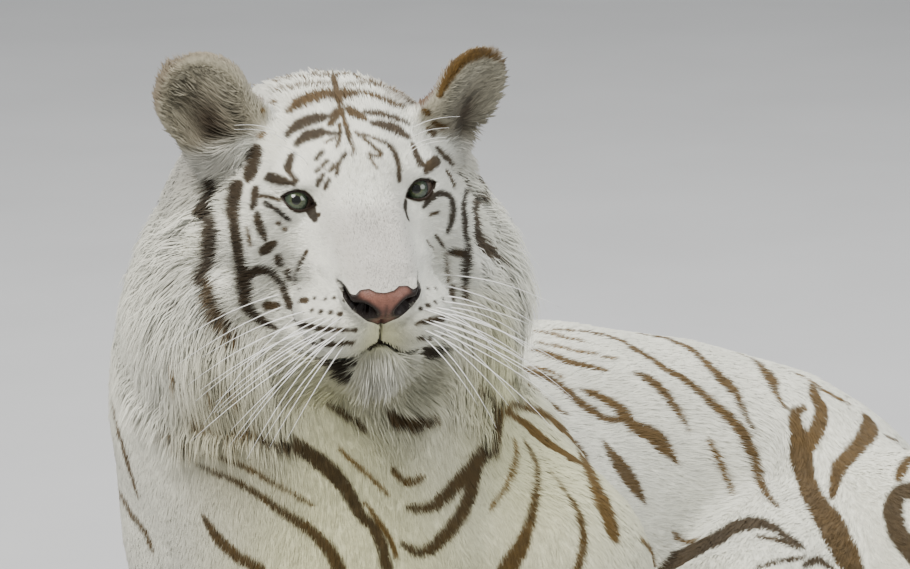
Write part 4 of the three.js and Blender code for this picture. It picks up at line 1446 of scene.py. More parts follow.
def ear_colours(points, colour):
    """The same colours, but for the ears: grey hair round a hollow darkened with painted shade, and a pale
    spot on a brown back.
    """
    h = to_head(points)
    for side in SIDES:
        q = to_ear(h, side)
        near = np.flatnonzero((q * q).sum(1) < EAR_HEIGHT**2)
        across, up = q[near, 0] * side / EAR_WIDTH * 2, q[near, 2] / EAR_HEIGHT * 2
        out = np.hypot(across, up)
        leaf = (1 - ramp(out, *LEAF_RIM)) * ramp(up, *LEAF_FOOT)
        behind = ramp(q[near, 1], *LEAF_BEHIND)
        back = behind * ramp(up, *BROWN_FOOT) * (1 - ramp(out, *BROWN_RIM))
        edge = ramp(out, *EDGE_RIM) * ramp(up, *EDGE_FOOT) * EDGE_SHARE
        hollow = np.hypot((across - HOLLOW_ACROSS) / HOLLOW_WIDE, up + HOLLOW_DOWN)
        # painted shade, darkest at the bottom of the hollow
        hollow_shade = bell(hollow, HOLLOW_REACH) * (1 - behind)
        tone = mixed(colour[near], EAR_INNER, leaf * (1 - behind))
        tone = mixed(tone, EAR_HOLLOW_SHADE, HOLLOW_SHARE * leaf * hollow_shade)
        tone = mixed(tone, EAR_BACK, leaf * np.maximum(back, edge))
        spot = 1 - ramp(np.hypot(across, up - SPOT_UP), *SPOT_RIM)
        colour[near] = mixed(tone, WHITE, SPOT_SHARE * back * leaf * spot)
    return colour


BROAD_TONE, FINE_TONE, INK_TONE = (0.035, 130.0), (0.03, 31.0), (0.18, 17.0)  # how much, over what length
INK_CURVE, INK_SHARE = 0.75, 0.96


def mottle(points, tone):
    much, size = tone
    return much * wobble(points, size)


def coat_colour(points, strokes):
    """The colour of the coat at points of the skin."""
    colour = ear_colours(points, tint_at(points))
    colour *= (1 + mottle(points, BROAD_TONE) + mottle(points, FINE_TONE))[:, None]
    amount, dark = stripe_at(points, strokes)
    ink = TAN + (DARK - TAN) * dark[:, None] ** INK_CURVE
    ink = ink * (1 + mottle(points, INK_TONE))[:, None]
    return colour + (ink - colour) * (INK_SHARE * amount)[:, None]


NOSE_OUTLINE = np.array([  # right half of the bare nose: |x| and z in the head's frame
    (0, -53), (9, -52), (15, -49.5), (24, -51), (29, -54.5), (34, -54), (38.5, -56.5), (39.5, -60),
    (36, -66), (31, -72.5), (24, -79.5), (15.5, -88.5), (8, -93), (3, -97), (0, -97.5),
], float)
NOSE_TOP, NOSE_BOTTOM = NOSE_OUTLINE[[0, -1], 1]
NOSE_BACK = -76  # only what lies ahead of this can be bare


def leather_at(h):
    """How far inside the bare nose's outline head-frame points are, in millimetres."""
    q = np.stack([np.abs(h[:, 0]), h[:, 2]], 1)
    inside = np.zeros(len(q), bool)
    for a, b in zip(NOSE_OUTLINE, np.roll(NOSE_OUTLINE, -1, axis=0)):
        straddles = (a[1] > q[:, 1]) != (b[1] > q[:, 1])
        slant = (b[0] - a[0]) / (b[1] - a[1] if b[1] != a[1] else 1e-9)
        inside ^= straddles & (q[:, 0] < a[0] + (q[:, 1] - a[1]) * slant)
    inside |= (q[:, 0] < 1.0) & (q[:, 1] < NOSE_TOP) & (q[:, 1] > NOSE_BOTTOM)
    away = line_distance(q, NOSE_OUTLINE)
    return np.where(h[:, 1] < NOSE_BACK, np.where(inside, away, -away), -FAR)


def lids_at(h):
    """How far outside the nearer eye's opening head-frame points are, in millimetres."""
    out = np.full(len(h), FAR)
    for side in SIDES:
        across, up, forward = LID_AXES[side]
        r = h - EYE_CENTRES[side]
        u, v, ahead = r @ across, r @ up, r @ forward
        near = (ahead > 0) & (np.abs(u) < 40) & (np.abs(v) < 30)
        gap = np.maximum(lid_opening(u, v), np.abs(u) - LID_OPEN_WIDTH)
        out = np.where(near, np.minimum(out, gap), out)
    return out


# ---- Camera and lights ----
def settings(shader, **values):
    """Sets the shader's own sockets. An underscore stands for a space."""
    for key, value in values.items():
        shader.inputs[key.replace("_", " ")].default_value = value


def add_camera():
    data = bpy.data.cameras.new("view")
    data.sensor_width = 36.0
    data.lens = 36.0 * VIEW_FOCAL / FRAME_WIDTH
    data.clip_start, data.clip_end = 0.1, 60.0
    made = linked("view", data)
    made.location = to_part(VIEW_FROM)
    made.rotation_euler = (math.radians(90 - VIEW_LIFT), 0.0, 0.0)
    bpy.context.scene.camera = made


LIT = (-0.2, -0.1, 0.4)  # what the lights point at, in metres


def add_light(name, place, size, power, colour):
    data = bpy.data.lights.new(name, "AREA")
    data.shape, data.size, data.energy, data.color = "DISK", size, power, colour
    made = linked(name, data)
    made.location = place
    made.rotation_euler = (Vector(LIT) - Vector(place)).to_track_quat("-Z", "Y").to_euler()


LIGHTS = [  # name, place and width in metres, power in watts, colour
    ("key", (-2.4, -3.2, 4.2), 2.6, 410.0, (1.0, 0.975, 0.93)),
    ("fill", (3.4, -2.6, 2.4), 3.2, 135.0, (0.97, 0.985, 1.0)),
    ("top", (0.4, 1.6, 4.4), 3.0, 190.0, (1.0, 1.0, 1.0)),
]
WORLD_COLOUR, WORLD_STRENGTH = (0.82, 0.85, 0.88, 1.0), 0.55
add_camera()
for light in LIGHTS:
    add_light(*light)
world = bpy.data.worlds.new("studio")
bpy.context.scene.world = world
world.use_nodes = True
settings(world.node_tree.nodes["Background"], Color=WORLD_COLOUR, Strength=WORLD_STRENGTH)


# ---- Materials ----
def material(name):
    """A new material, its nodes and links, and its main shader."""
    made = bpy.data.materials.new(name)
    made.use_nodes = True
    nodes, links = made.node_tree.nodes, made.node_tree.links
    return made, nodes, links, nodes["Principled BSDF"]


def node(nodes, kind, **values):
    """A new node, with its properties and the values of its inputs."""
    made = nodes.new(kind)
    for key, value in values.items():
        if hasattr(made, key):
            setattr(made, key, value)
        else:
            made.inputs[key.replace("_", " ")].default_value = value
    return made


def multiply(nodes, links, first, second, share=1.0):
    """The product of two colours, mixed in by share."""
    mix = node(nodes, "ShaderNodeMix", data_type="RGBA", blend_type="MULTIPLY")
    mix.inputs["Factor"].default_value = share
    links.new(first, mix.inputs["A"])
    links.new(second, mix.inputs["B"])
    return mix.outputs["Result"]


def levels(nodes, links, source, low, high):
    """Noise of 0.3 to 0.7 spread between two levels."""
    made = node(nodes, "ShaderNodeMapRange", From_Min=0.3, From_Max=0.7, To_Min=low, To_Max=high)
    links.new(source, made.inputs["Value"])
    return made.outputs["Result"]


def noise_band(nodes, links, scale, low, high, detail=3.0, stretch=None):
    """Noise in the part's own coordinates, as a grey between two levels."""
    coordinates = node(nodes, "ShaderNodeTexCoord")
    source = coordinates.outputs["Object"]
    if stretch:
        mapping = node(nodes, "ShaderNodeMapping")
        mapping.inputs["Scale"].default_value = stretch
        links.new(source, mapping.inputs["Vector"])
        source = mapping.outputs["Vector"]
    noise = node(nodes, "ShaderNodeTexNoise", Scale=scale, Detail=detail)
    links.new(source, noise.inputs["Vector"])
    return levels(nodes, links, noise.outputs["Fac"], low, high), noise.outputs["Fac"]


def bump(nodes, links, height, strength, distance, shader):
    made = node(nodes, "ShaderNodeBump", Strength=strength, Distance=distance)
    links.new(height, made.inputs["Height"])
    links.new(made.outputs["Normal"], shader.inputs["Normal"])


def coat_material(name, under):
    """Hair. under is for the skin below the tufts, which is streaked and darkened a little as painted shade.
    """
    made, nodes, links, shader = material(name)
    colour = node(nodes, "ShaderNodeAttribute", attribute_name="coat")
    fine, _ = noise_band(nodes, links, 900.0, 0.90, 1.06)
    shade = multiply(nodes, links, colour.outputs["Color"], fine)
    if under:
        # hair-like streaks, which also darken the skin between the tufts a little as painted shade
        streaks_and_shade, height = noise_band(nodes, links, 260.0, 0.86, 1.0, 4.0, (1.0, 0.35, 1.0))
        shade = multiply(nodes, links, shade, streaks_and_shade)
        bump(nodes, links, height, 0.4, 0.001, shader)
    links.new(shade, shader.inputs["Base Color"])
    settings(shader, Roughness=0.78, Specular_IOR_Level=0.14, Sheen_Weight=0.05, Sheen_Roughness=0.5)
    return made


def paint(mesh, name, colours):
    """Keeps a colour for each point of a mesh."""
    layer = mesh.attributes.new(name, "FLOAT_COLOR", "POINT")
    full = np.ones((len(mesh.vertices), 4), np.float32)
    full[:, :3] = colours
    layer.data.foreach_set("color", full.ravel())


# Edges of the skin longer than the first are halved where they are nearer than the second to a stripe's edge
STRIPE_PASSES = ((5.4, 9.0), (5.4, 6.5))


def refine_stripes(points, faces, sunk, strokes):
    """Halves the skin's faces where a stripe's edge runs, so that its colour has somewhere to change."""
    bm = opened(points, faces)
    first = len(points)
    for longest, band in STRIPE_PASSES:
        edges = [e for e in bm.edges if e.calc_length() > longest]
        middles = np.array([((e.verts[0].co + e.verts[1].co) / 2)[:] for e in edges])
        near = np.zeros(len(edges), bool)
        for stroke in strokes:
            inside = ((middles > stroke.low - band) & (middles < stroke.high + band)).all(1)
            some = np.flatnonzero(inside & ~near)
            if len(some):
                near[some] = np.abs(stroke.depth(middles[some])) < band
        halve(bm, [e for e, yes in zip(edges, near) if yes])
        cut_large(bm)
    points, faces = closed(bm)
    body = np.arange(len(points)) >= first
    body &= ~on_face(points)[1]
    points[body] = settle(skin_field, points[body], 1, 3.0)
    return points, faces, np.concatenate([sunk, np.zeros(len(points) - first)])


FLESH = sorted(set(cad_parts) - {"nose", "eye_left", "eye_right"})
skin_coat = coat_material("short_coat", True)
tuft_coat = coat_material("coat", False)

strokes = ring_stripes(skin_tree, seen_stripes(skin_tree))
skin_points, skin_faces, skin_sunk = refine_stripes(skin_points, skin_faces, skin_sunk, strokes)
skin = mesh_object("skin", skin_points, skin_faces)


# How far from the lids, the mouth and the nostrils the dark round them starts to fade, and ends
LID_SHADE, MOUTH_SHADE, NOSTRIL_SHADE = (1.6, 4.2), (1.2, 3.4), (0.6, 2.6)
MOUTH_AHEAD, NOSTRIL_AHEAD = (10, 50), (60, 80)  # how far ahead in the head's frame these last two start
MOUTH_DARK, SHADE_DARK = 0.85, 0.7
SUNK_SHADE_AT = (1.0, 5.0)  # how far sunk the skin is where its painted shade starts, and where it is darkest


def marked(points):
    """The coat's colour at points, with the stripes, the dark round the lids and lips, painted shade in and
    round the nostrils, and painted shade in the folds between the toes.
    """
    colour = coat_colour(points, strokes)
    h, face = on_face(points)
    rim = np.zeros(len(points))
    rim[face] = 1 - ramp(lids_at(h[face]), *LID_SHADE)
    mouth = np.zeros(len(points))
    line = line_distance(np.stack([np.abs(h[face, 0]), h[face, 2]], 1), MOUTH_LINE)
    mouth[face] = (1 - ramp(line, *MOUTH_SHADE)) * ramp(-h[face, 1], *MOUTH_AHEAD) * MOUTH_DARK
    # painted shade in and round the nostrils
    wing = np.zeros(len(points))
    wing[face] = (1 - ramp(nostrils(h[face]), *NOSTRIL_SHADE)) * ramp(-h[face, 1], *NOSTRIL_AHEAD)
    dark = np.maximum(np.maximum(rim, mouth), wing)[:, None]
    # painted shade in the folds between the toes
    colour = colour * (1 - TOE_SHADE * toe_folds(points))[:, None]
    return colour + (DARK * SHADE_DARK - colour) * dark


# painted shade in the sunk eye openings, nostrils and mouth
sunk_shade = 1 - SUNK_SHADE * ramp(skin_sunk, *SUNK_SHADE_AT)
paint(skin.data, "coat", marked(skin_points) * sunk_shade[:, None])
skin.data.materials.append(skin_coat)


def unwrap(piece):
    """Gives a piece its OFBake map, an unwrap of its own shape."""
    layer = piece.data.uv_layers.new(name="OFBake")
    bpy.ops.object.select_all(action="DESELECT")
    piece.select_set(True)
    bpy.context.view_layer.objects.active = piece
    bpy.ops.object.mode_set(mode="EDIT")
    bpy.ops.mesh.select_all(action="SELECT")
    bpy.ops.uv.smart_project(angle_limit=1.15, island_margin=0.002)
    bpy.ops.object.mode_set(mode="OBJECT")
    return piece.data.uv_layers[0]


unwrap(skin)
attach(skin, "root")
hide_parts(*FLESH)


# ---- The coat: tufts over the skin ----
TUFT_WIDTH = 0.4  # of the gap between tufts
LONG_HAIR = 30.0  # tufts longer than this have a bend more
COLOUR_AT = (0.3, 0.5, 0.78)  # a tuft takes its colours from the skin under these parts of it
LIGHTEST = 0.95
SUNK_BARE, LEATHER_BARE, LIDS_BARE = 1.5, 0.4, 1.2  # no tufts this deep in a fold, in the nose, by the lids
UNDER, FACING_DOWN = 6.0, -0.4  # nor on what faces the floor, this near to it
AROUND_FACE = 20  # roots this near to the face are tested for the nose and the lids
LENGTHS, LIFTS, WIDTHS = (0.7, 1.3), (0.7, 1.25), (0.8, 1.35)  # how much tufts differ
TIP_RISES = (0.55, 1.0)  # how far a tip keeps its tuft's rise
SWINGS = ((10, 75.0), (9, 28.0), 8)  # degrees: waves of the lie of the hair, and the spread round them
ROLL = 35.0  # degrees that a tuft may be turned about its length
DROOP = 0.0045  # how far a long tuft's tip sinks, by its length squared
LOCK, LOCK_WAVE = 4.5, (6, 40.0)  # tufts draw together over this many gaps, and how the locks' edges wander
PULL = (0.06, 0.45)  # how far a short and a long tuft's tip goes towards its lock's
PULL_FROM, PULL_OVER = 8, 60  # the lengths over which that grows
TONES, LOCK_TONE, EAR_TONES = (0.9, 1.08), 0.03, (0.62, 1.25)  # how much lighter or darker tufts are
SPECKLED, SPECKLE_TONES = (0.2, 1.9), (0.4, 0.8)  # on the bridge of the nose: which are dark, and how dark
BRIDGE_WIDTH, BRIDGE_AHEAD, BRIDGE_UP = 36.0, (-6, 40), (-66, -50)
CELL_PRIMES = np.array([73856093, 19349663, 83492791])  # give each lock's cell a number of its own
EAR_HAIR_LIFT = 34.0
EAR_RIM_SHORTER = 0.4  # how much shorter the hair is on an ear's rim than in its hollow
EAR_RIM_LIFT = 24.0  # degrees that the hair on the rim stands up further
PATCH = 0.003
REGIONS = [  # name, and where: the first that holds a tuft takes it
    ("coat_face", lambda p, h: (h[:, 1] < 62) & (h[:, 1] > -160) & (np.abs(h[:, 0]) < 125) & (h[:, 2] > -215)
        & (h[:, 2] < 90)),
    ("coat_head", lambda p, h: (h[:, 1] < 190) & (h[:, 1] > -160) & (h[:, 2] > -260)),
    ("coat_chest", lambda p, h: (p[:, 1] < -60) & (p[:, 2] > 130)),
    ("coat_forelegs", lambda p, h: (p[:, 1] < -60) & (p[:, 0] < 300)),
    ("coat_hind_legs", lambda p, h: (p[:, 1] < 190) & (p[:, 0] > 300)),
    ("coat_tail", lambda p, h: (p[:, 0] > 680)),
    ("coat_back", lambda p, h: (p[:, 2] > 300)),
    ("coat_right_side", lambda p, h: (p[:, 1] > 0.9 * p[:, 0] + 180)),
    ("coat_left_side", lambda p, h: np.ones(len(p), bool)),
]


def read(collection, name, width, kind=np.float32):
    """One value of all of a mesh's points, corners or faces, a row each."""
    flat = np.empty(len(collection) * width, kind)
    collection.foreach_get(name, flat)
    return flat.reshape(-1, width)


def scatter():
    """Roots all over the skin: place, normal, place on the skin's map, and how deep in a fold."""
    random = np.random.default_rng(COAT_SEED)
    mesh = skin.data
    mesh.calc_loop_triangles()
    count = len(mesh.loop_triangles)
    corner = read(mesh.loop_triangles, "vertices", 3, np.int32)
    loop = read(mesh.loop_triangles, "loops", 3, np.int32)
    places = read(mesh.vertices, "co", 3).astype(float) * 1000 - SHIFT
    normals = read(mesh.vertices, "normal", 3).astype(float)
    uv = read(mesh.uv_layers["OFBake"].data, "uv", 2)
    a, b, c = (places[corner[:, k]] for k in range(3))
    area = np.linalg.norm(np.cross(b - a, c - a), axis=1) / 2
    gap = coat_at((a + b + c) / 3)[1][:, 2]
    wanted = np.cumsum(area / gap**2) + random.uniform()
    number = np.diff(np.floor(wanted), prepend=0).astype(int)
    owner = np.repeat(np.arange(count), number)
    r1, r2 = np.sqrt(random.uniform(size=len(owner))), random.uniform(size=len(owner))
    share = np.stack([1 - r1, r1 * (1 - r2), r1 * r2], 1)[:, :, None]
    root = (places[corner[owner]] * share).sum(1)
    normal = (normals[corner[owner]] * share).sum(1)
    normal /= np.linalg.norm(normal, axis=1, keepdims=True) + 1e-9
    at = (uv[loop[owner]] * share).sum(1)
    fold = (skin_sunk[corner[owner]] * share[:, :, 0]).sum(1)
    return root, normal, at, fold, random


def in_ears(h):
    inside = np.zeros(len(h), bool)
    for side in SIDES:
        q = to_ear(h, side)
        hollow = np.abs(q / (EAR_WIDTH * 0.42, 1, EAR_HEIGHT * 0.44))
        inside |= (hollow[:, 0] ** 2 + hollow[:, 2] ** 2 < 1) & (q[:, 1] < EAR_DEPTH * 0.2) & (q[:, 1] > -30)
    return inside


def ear_edge(h):
    """Near 1 on the rims of the ears, 0 in their hollows and away from them."""
    edge = np.zeros(len(h))
    for side in SIDES:
        q = to_ear(h, side)
        out = np.hypot(q[:, 0] / EAR_WIDTH, q[:, 2] / EAR_HEIGHT) * 2
        edge = np.maximum(edge, ramp(out, 0.55, 0.9) * (1 - ramp(out, 1.3, 1.5)) * ramp(q[:, 2], -36, -10))
    return edge


def grow_coat():
    """Every tuft, as arrays: its frame, sizes, colours and place on the map."""
    root, normal, at, fold, random = scatter()
    h, face = on_face(root)
    bare = fold > SUNK_BARE
    near_face = np.flatnonzero(((h > FACE_LOW - AROUND_FACE) & (h < FACE_HIGH + AROUND_FACE)).all(1))
    bare[near_face] |= leather_at(h[near_face]) > LEATHER_BARE
    bare[near_face] |= lids_at(h[near_face]) < LIDS_BARE
    bare |= (root[:, 2] < UNDER) & (normal[:, 2] < FACING_DOWN)
    keep = np.flatnonzero(~bare)
    root, normal, at, h = root[keep], normal[keep], at[keep], h[keep]
    count = len(root)
    way, facts = coat_at(root)
    length, lift, gap = facts.T.copy()
    ears = in_ears(h)
    rim = ear_edge(h)
    lift[ears] = EAR_HAIR_LIFT
    lift += EAR_RIM_LIFT * rim
    length *= 1 - EAR_RIM_SHORTER * rim
    length *= random.uniform(*LENGTHS, count)
    lift = np.radians(lift * random.uniform(*LIFTS, count))
    width = gap * TUFT_WIDTH * random.uniform(*WIDTHS, count)
    along = unit(way - (way * normal).sum(1, keepdims=True) * normal)
    (broad, broad_wave), (fine, fine_wave), spread = SWINGS
    swing = broad * wobble(root, broad_wave) + fine * wobble(root + 50, fine_wave)
    swing = np.radians(swing + random.normal(0, spread, count))[:, None]
    along = unit(along * np.cos(swing) + np.cross(normal, along) * np.sin(swing))
    across = np.cross(along, normal)
    roll = np.radians(random.uniform(-ROLL, ROLL, count))[:, None]
    edge = across * np.cos(roll) + normal * np.sin(roll)
    reach = length * np.cos(lift)
    rise = length * np.sin(lift)
    tip = root + along * reach[:, None] + normal * (rise * random.uniform(*TIP_RISES, count))[:, None]
    tip[:, 2] -= np.where(length > LONG_HAIR, DROOP * length**2, 0)
    wander, wave = LOCK_WAVE
    cell = np.floor((root + wander * wobble(root, wave)[:, None]) / (gap * LOCK)[:, None]).astype(np.int64)
    lock = np.unique(cell @ CELL_PRIMES, return_inverse=True)[1]
    lock = lock.ravel()
    total = np.stack([np.bincount(lock, tip[:, k]) for k in range(3)], 1) / np.bincount(lock)[:, None]
    pull = np.clip((length - PULL_FROM) / PULL_OVER, *PULL)[:, None]
    tip += (total[lock] - tip) * pull
    lighter = random.uniform(*TONES, count) * (1 + LOCK_TONE * random.normal(size=lock.max() + 1)[lock])
    lighter[ears] *= random.uniform(*EAR_TONES, ears.sum())
    bridge = bell(h[:, 0], BRIDGE_WIDTH) * ramp(-h[:, 1], *BRIDGE_AHEAD) * ramp(h[:, 2], *BRIDGE_UP)
    speckled = bridge > random.uniform(*SPECKLED, count)
    lighter[speckled] *= random.uniform(*SPECKLE_TONES, speckled.sum())
    shown = [
        np.clip(marked(root + along * (reach * t)[:, None]) * lighter[:, None], 0, LIGHTEST)
        for t in COLOUR_AT
    ]
    return dict(root=root, normal=normal, along=along, edge=edge, tip=tip, length=length, rise=rise,
                width=width, colour=np.stack(shown, 1), at=at, h=h)


SHORT_FACES = np.array([(0, 2, 3), (1, 3, 2), (0, 1, 2), (0, 3, 1)])
LONG_FACES = np.array([
    (0, 2, 3), (0, 3, 1), (0, 4, 2), (0, 1, 4), (1, 3, 4), (2, 4, 5), (4, 3, 5), (3, 2, 5),
])
# For each point of a tuft: which of its three colours it takes, how much lighter that is made (darker at the
# root and lighter at the tip, a painted shade along the tuft), and how far its normal leans across the tuft
# and along it
SHORT_POINTS = [(0, 0.9, -0.25, 0.0), (0, 0.9, 0.25, 0.0), (1, 1.0, 0.0, 0.05), (2, 1.05, 0.0, 0.25)]
LONG_POINTS = [
    (0, 0.9, -0.3, 0.1), (0, 0.9, 0.3, 0.1), (1, 1.0, -0.3, 0.15), (1, 1.0, 0.3, 0.15), (1, 1.04, 0.0, 0.1),
    (2, 1.06, 0.0, 0.3),
]
TUFT_KINDS = [  # whether long, its points and faces, how far along it bends, and its rise there
    (False, SHORT_POINTS, SHORT_FACES, 0.4, 0.26),
    (True, LONG_POINTS, LONG_FACES, 0.5, 0.34),
]
ROOT_DEPTH = 0.5  # how far a tuft starts below the skin
ROOT_WIDTH, RIDGE, MIDDLE_RISE = 0.8, 0.4, 0.12  # shares of the tuft's width


def tuft_mesh(name, t):
    """One piece of coat from tufts: each is a closed spike with a ridge, bent once more where it is long."""
    points, faces, colours, normals, maps = [], [], [], [], []
    start = 0
    for long, rows, template, bend, risen in TUFT_KINDS:
        some = (t["length"] > LONG_HAIR) == long
        if not some.any():
            continue
        root, normal, along, edge, tip = (t[k][some] for k in ("root", "normal", "along", "edge", "tip"))
        width, rise, colour, at = (t[k][some] for k in ("width", "rise", "colour", "at"))
        half = edge * (width / 2)[:, None]
        base = root - normal * ROOT_DEPTH
        out = unit(tip - root)
        middle = root + (tip - root) * bend
        middle = middle + normal * (rise * risen + width * MIDDLE_RISE)[:, None]
        if long:
            ridge = middle + normal * (width * RIDGE)[:, None]
            sides = [base - half * ROOT_WIDTH, base + half * ROOT_WIDTH, middle - half, middle + half]
            ring = [*sides, ridge, tip]
        else:
            ring = [base - half, base + half, middle, tip]
        each = len(ring)
        stack = np.stack(ring, 1)
        stack[:, :, 2] = np.maximum(stack[:, :, 2], FLOOR_LEVEL)
        points.append(stack.reshape(-1, 3))
        order = np.arange(len(root))[:, None, None] * each + template[None] + start
        faces.append(order.reshape(-1, 3))
        # row[1] lays the painted shade along each tuft, darkest at its root
        colours.append(np.stack([colour[:, row[0]] * row[1] for row in rows], 1).reshape(-1, 3))
        lean = np.array([row[2:] for row in rows])
        shown = normal[:, None] * 0.85 + edge[:, None] * lean[None, :, :1] + out[:, None] * lean[None, :, 1:]
        normals.append(unit(shown.reshape(-1, 3)))
        spread = np.linspace(-0.5, 0.5, each)
        offsets = np.stack([spread, np.where(np.arange(each) % 2, 0.5, -0.5)], 1) * PATCH
        maps.append((at[:, None] + offsets[None])[:, template].reshape(-1, 2))
        start += stack.shape[0] * each
    made = mesh_object(name, np.concatenate(points), np.concatenate(faces))
    layer = made.data.uv_layers.new(name="OFBake")
    layer.data.foreach_set("uv", np.concatenate(maps).astype(np.float32).ravel())
    paint(made.data, "coat", np.clip(np.concatenate(colours), 0, 0.97))
    made.data.normals_split_custom_set_from_vertices(np.concatenate(normals))
    made.data.materials.append(tuft_coat)
    return made


tufts = grow_coat()
left = np.ones(len(tufts["root"]), bool)
for name, holds in REGIONS:
    mine = left & holds(tufts["root"], tufts["h"])
    left &= ~mine
    piece = tuft_mesh(name, {key: value[mine] for key, value in tufts.items()})
    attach(piece, "root")


# ---- Eyes ----
IRIS_RADIUS, CORNEA_BULGE = 11.6, 2.0
EYE_ROWS, EYE_FRONT_ROWS, EYE_SPOKES = 40, 28, 64
QUARTER = 1.57  # radians, all but a quarter turn
FRONT_TILT = 1.0  # radians from the middle of the iris within which the rows are closer together
BEHIND_IRIS = 2.0  # the "ring" value, in radii of the iris, of the ball's hidden half
BULGE_REACH, BULGE_TILT = (2.0, 14.5), 1.3  # where the bulge falls away, in millimetres, and ends, in radians
IRIS_RING = ((0.0, (0.004, 0.004, 0.003)), (0.355, (0.006, 0.006, 0.004)), (0.385, (0.05, 0.058, 0.026)),
             (0.60, (0.040, 0.055, 0.032)), (0.88, (0.026, 0.036, 0.025)), (0.97, (0.006, 0.006, 0.005)),
             (1.06, (0.05, 0.036, 0.027)), (1.4, (0.07, 0.05, 0.038)))


def eye_material():
    made, nodes, links, shader = material("eye_gloss")
    ring = node(nodes, "ShaderNodeAttribute", attribute_name="ring")
    reach = IRIS_RING[-1][0]
    scaled = node(nodes, "ShaderNodeMath", operation="DIVIDE")
    scaled.inputs[1].default_value = reach
    links.new(ring.outputs["Fac"], scaled.inputs[0])
    tint = node(nodes, "ShaderNodeValToRGB")
    stops = tint.color_ramp.elements
    while len(stops) < len(IRIS_RING):
        stops.new(0.5)
    for stop, (place, colour) in zip(stops, IRIS_RING):
        stop.position, stop.color = place / reach, (*colour, 1.0)
    links.new(scaled.outputs[0], tint.inputs["Fac"])
    spokes = node(nodes, "ShaderNodeAttribute", attribute_name="spokes")
    noise = node(nodes, "ShaderNodeTexNoise", Scale=9.0, Detail=4.0)
    links.new(spokes.outputs["Vector"], noise.inputs["Vector"])
    fibres = levels(nodes, links, noise.outputs["Fac"], 0.55, 1.45)
    links.new(multiply(nodes, links, tint.outputs["Color"], fibres), shader.inputs["Base Color"])
    settings(shader, Roughness=0.12, Specular_IOR_Level=0.25, Coat_Weight=0.7, Coat_Roughness=0.02)
    return made


def eyeball(name, side, gloss):
    """A ball that looks at the view, its clear front bulging over the iris."""
    centre = from_head([EYE_CENTRES[side]])[0]
    gaze = unit((VIEW_FROM - centre)[None])[0]
    right = unit(np.cross(gaze, (0, 0, 1.0))[None])[0]
    above = np.cross(right, gaze)
    spokes = EYE_SPOKES
    tilt = np.concatenate([
        np.linspace(0, FRONT_TILT, EYE_FRONT_ROWS),
        np.linspace(FRONT_TILT, math.pi, EYE_ROWS - EYE_FRONT_ROWS + 1)[1:],
    ])
    angle = np.arange(spokes) / spokes * 2 * math.pi
    points, ring, around = [centre + gaze * (EYEBALL + CORNEA_BULGE)], [0.0], [(0.0, 0.0, 0.0)]
    for t in tilt[1:-1]:
        across = np.array([EYEBALL * math.sin(min(t, QUARTER))])
        bulge = CORNEA_BULGE * float(1 - ramp(across, *BULGE_REACH)[0])
        out = EYEBALL + (bulge if t < BULGE_TILT else 0.0)
        for w in angle:
            sideways = math.cos(w) * right + math.sin(w) * above
            points.append(centre + out * (math.cos(t) * gaze + math.sin(t) * sideways))
            distance = EYEBALL * math.sin(t) / IRIS_RADIUS if t < QUARTER else BEHIND_IRIS
            ring.append(distance)
            around.append((math.cos(w) * 2.0, math.sin(w) * 2.0, distance * 0.35))
    points.append(centre - gaze * EYEBALL)
    ring.append(BEHIND_IRIS)
    around.append((0.0, 0.0, 1.0))
    faces = [[0, 1 + (k + 1) % spokes, 1 + k][::-1] for k in range(spokes)]
    last = len(points) - 1
    for row in range(len(tilt) - 3):
        low = 1 + row * spokes
        for k in range(spokes):
            n = (k + 1) % spokes
            faces.append([low + k, low + spokes + k, low + spokes + n, low + n])
    low = last - spokes
    faces += [[last, low + (k + 1) % spokes, low + k][::-1] for k in range(spokes)]
    made = mesh_object(name, np.array(points), faces)
    layer = made.data.attributes.new("ring", "FLOAT", "POINT")
    layer.data.foreach_set("value", np.array(ring, np.float32))
    layer = made.data.attributes.new("spokes", "FLOAT_VECTOR", "POINT")
    layer.data.foreach_set("vector", np.array(around, np.float32).ravel())
    made.data.materials.append(gloss)
    return made


def outward(piece):
    """Turns a closed piece's faces to point out."""
    bm = bmesh.new()
    bm.from_mesh(piece.data)
    bmesh.ops.recalc_face_normals(bm, faces=bm.faces)
    bm.to_mesh(piece.data)
    bm.free()
    return piece


eye_gloss = eye_material()
for side, name in ((1, "left"), (-1, "right")):
    ball_piece = outward(eyeball(f"eyeball_{name}", side, eye_gloss))
    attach(ball_piece, "root")
    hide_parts(f"eye_{name}")


# ---- Lids' bare rims, the nose's leather, and whiskers ----
def tube(line, radii, sides=8):
    """Points and faces of a closed tube along a line, its ends drawn to a point."""
    line = np.array(line)
    along = unit(np.gradient(line, axis=0))
    seed = np.array([0.3, 0.2, 1.0])
    first = unit(np.cross(along, seed))
    second = np.cross(along, first)
    angle = np.arange(sides) / sides * 2 * math.pi
    rows = [
        p + r * (np.cos(angle)[:, None] * u + np.sin(angle)[:, None] * v)
        for p, r, u, v in zip(line, radii, first, second)
    ]
    points = np.concatenate([*rows, line[:1], line[-1:]])
    count = len(line)
    faces = []
    for row in range(count - 1):
        for k in range(sides):
            n = (k + 1) % sides
            faces.append([row * sides + k, row * sides + n, (row + 1) * sides + n, (row + 1) * sides + k])
    start, end = count * sides, count * sides + 1
    faces += [[start, (k + 1) % sides, k] for k in range(sides)]
    faces += [[end, (count - 1) * sides + k, (count - 1) * sides + (k + 1) % sides] for k in range(sides)]
    return points, faces


def joined(name, parts):
    """One piece from several lots of points and faces."""
    points, faces, start = [], [], 0
    for some, shapes in parts:
        points.append(some)
        faces += [[i + start for i in f] for f in shapes]
        start += len(some)
    return outward(mesh_object(name, np.concatenate(points), faces))


RIM_RADIUS, CANTHUS, RIM_STEPS = 1.5, 5.0, 30
UPPER_RIM, LOWER_RIM = 1.15, 0.8  # how thick each lid's rim is beside the radius
RIM_COLOUR = (0.022, 0.014, 0.011)


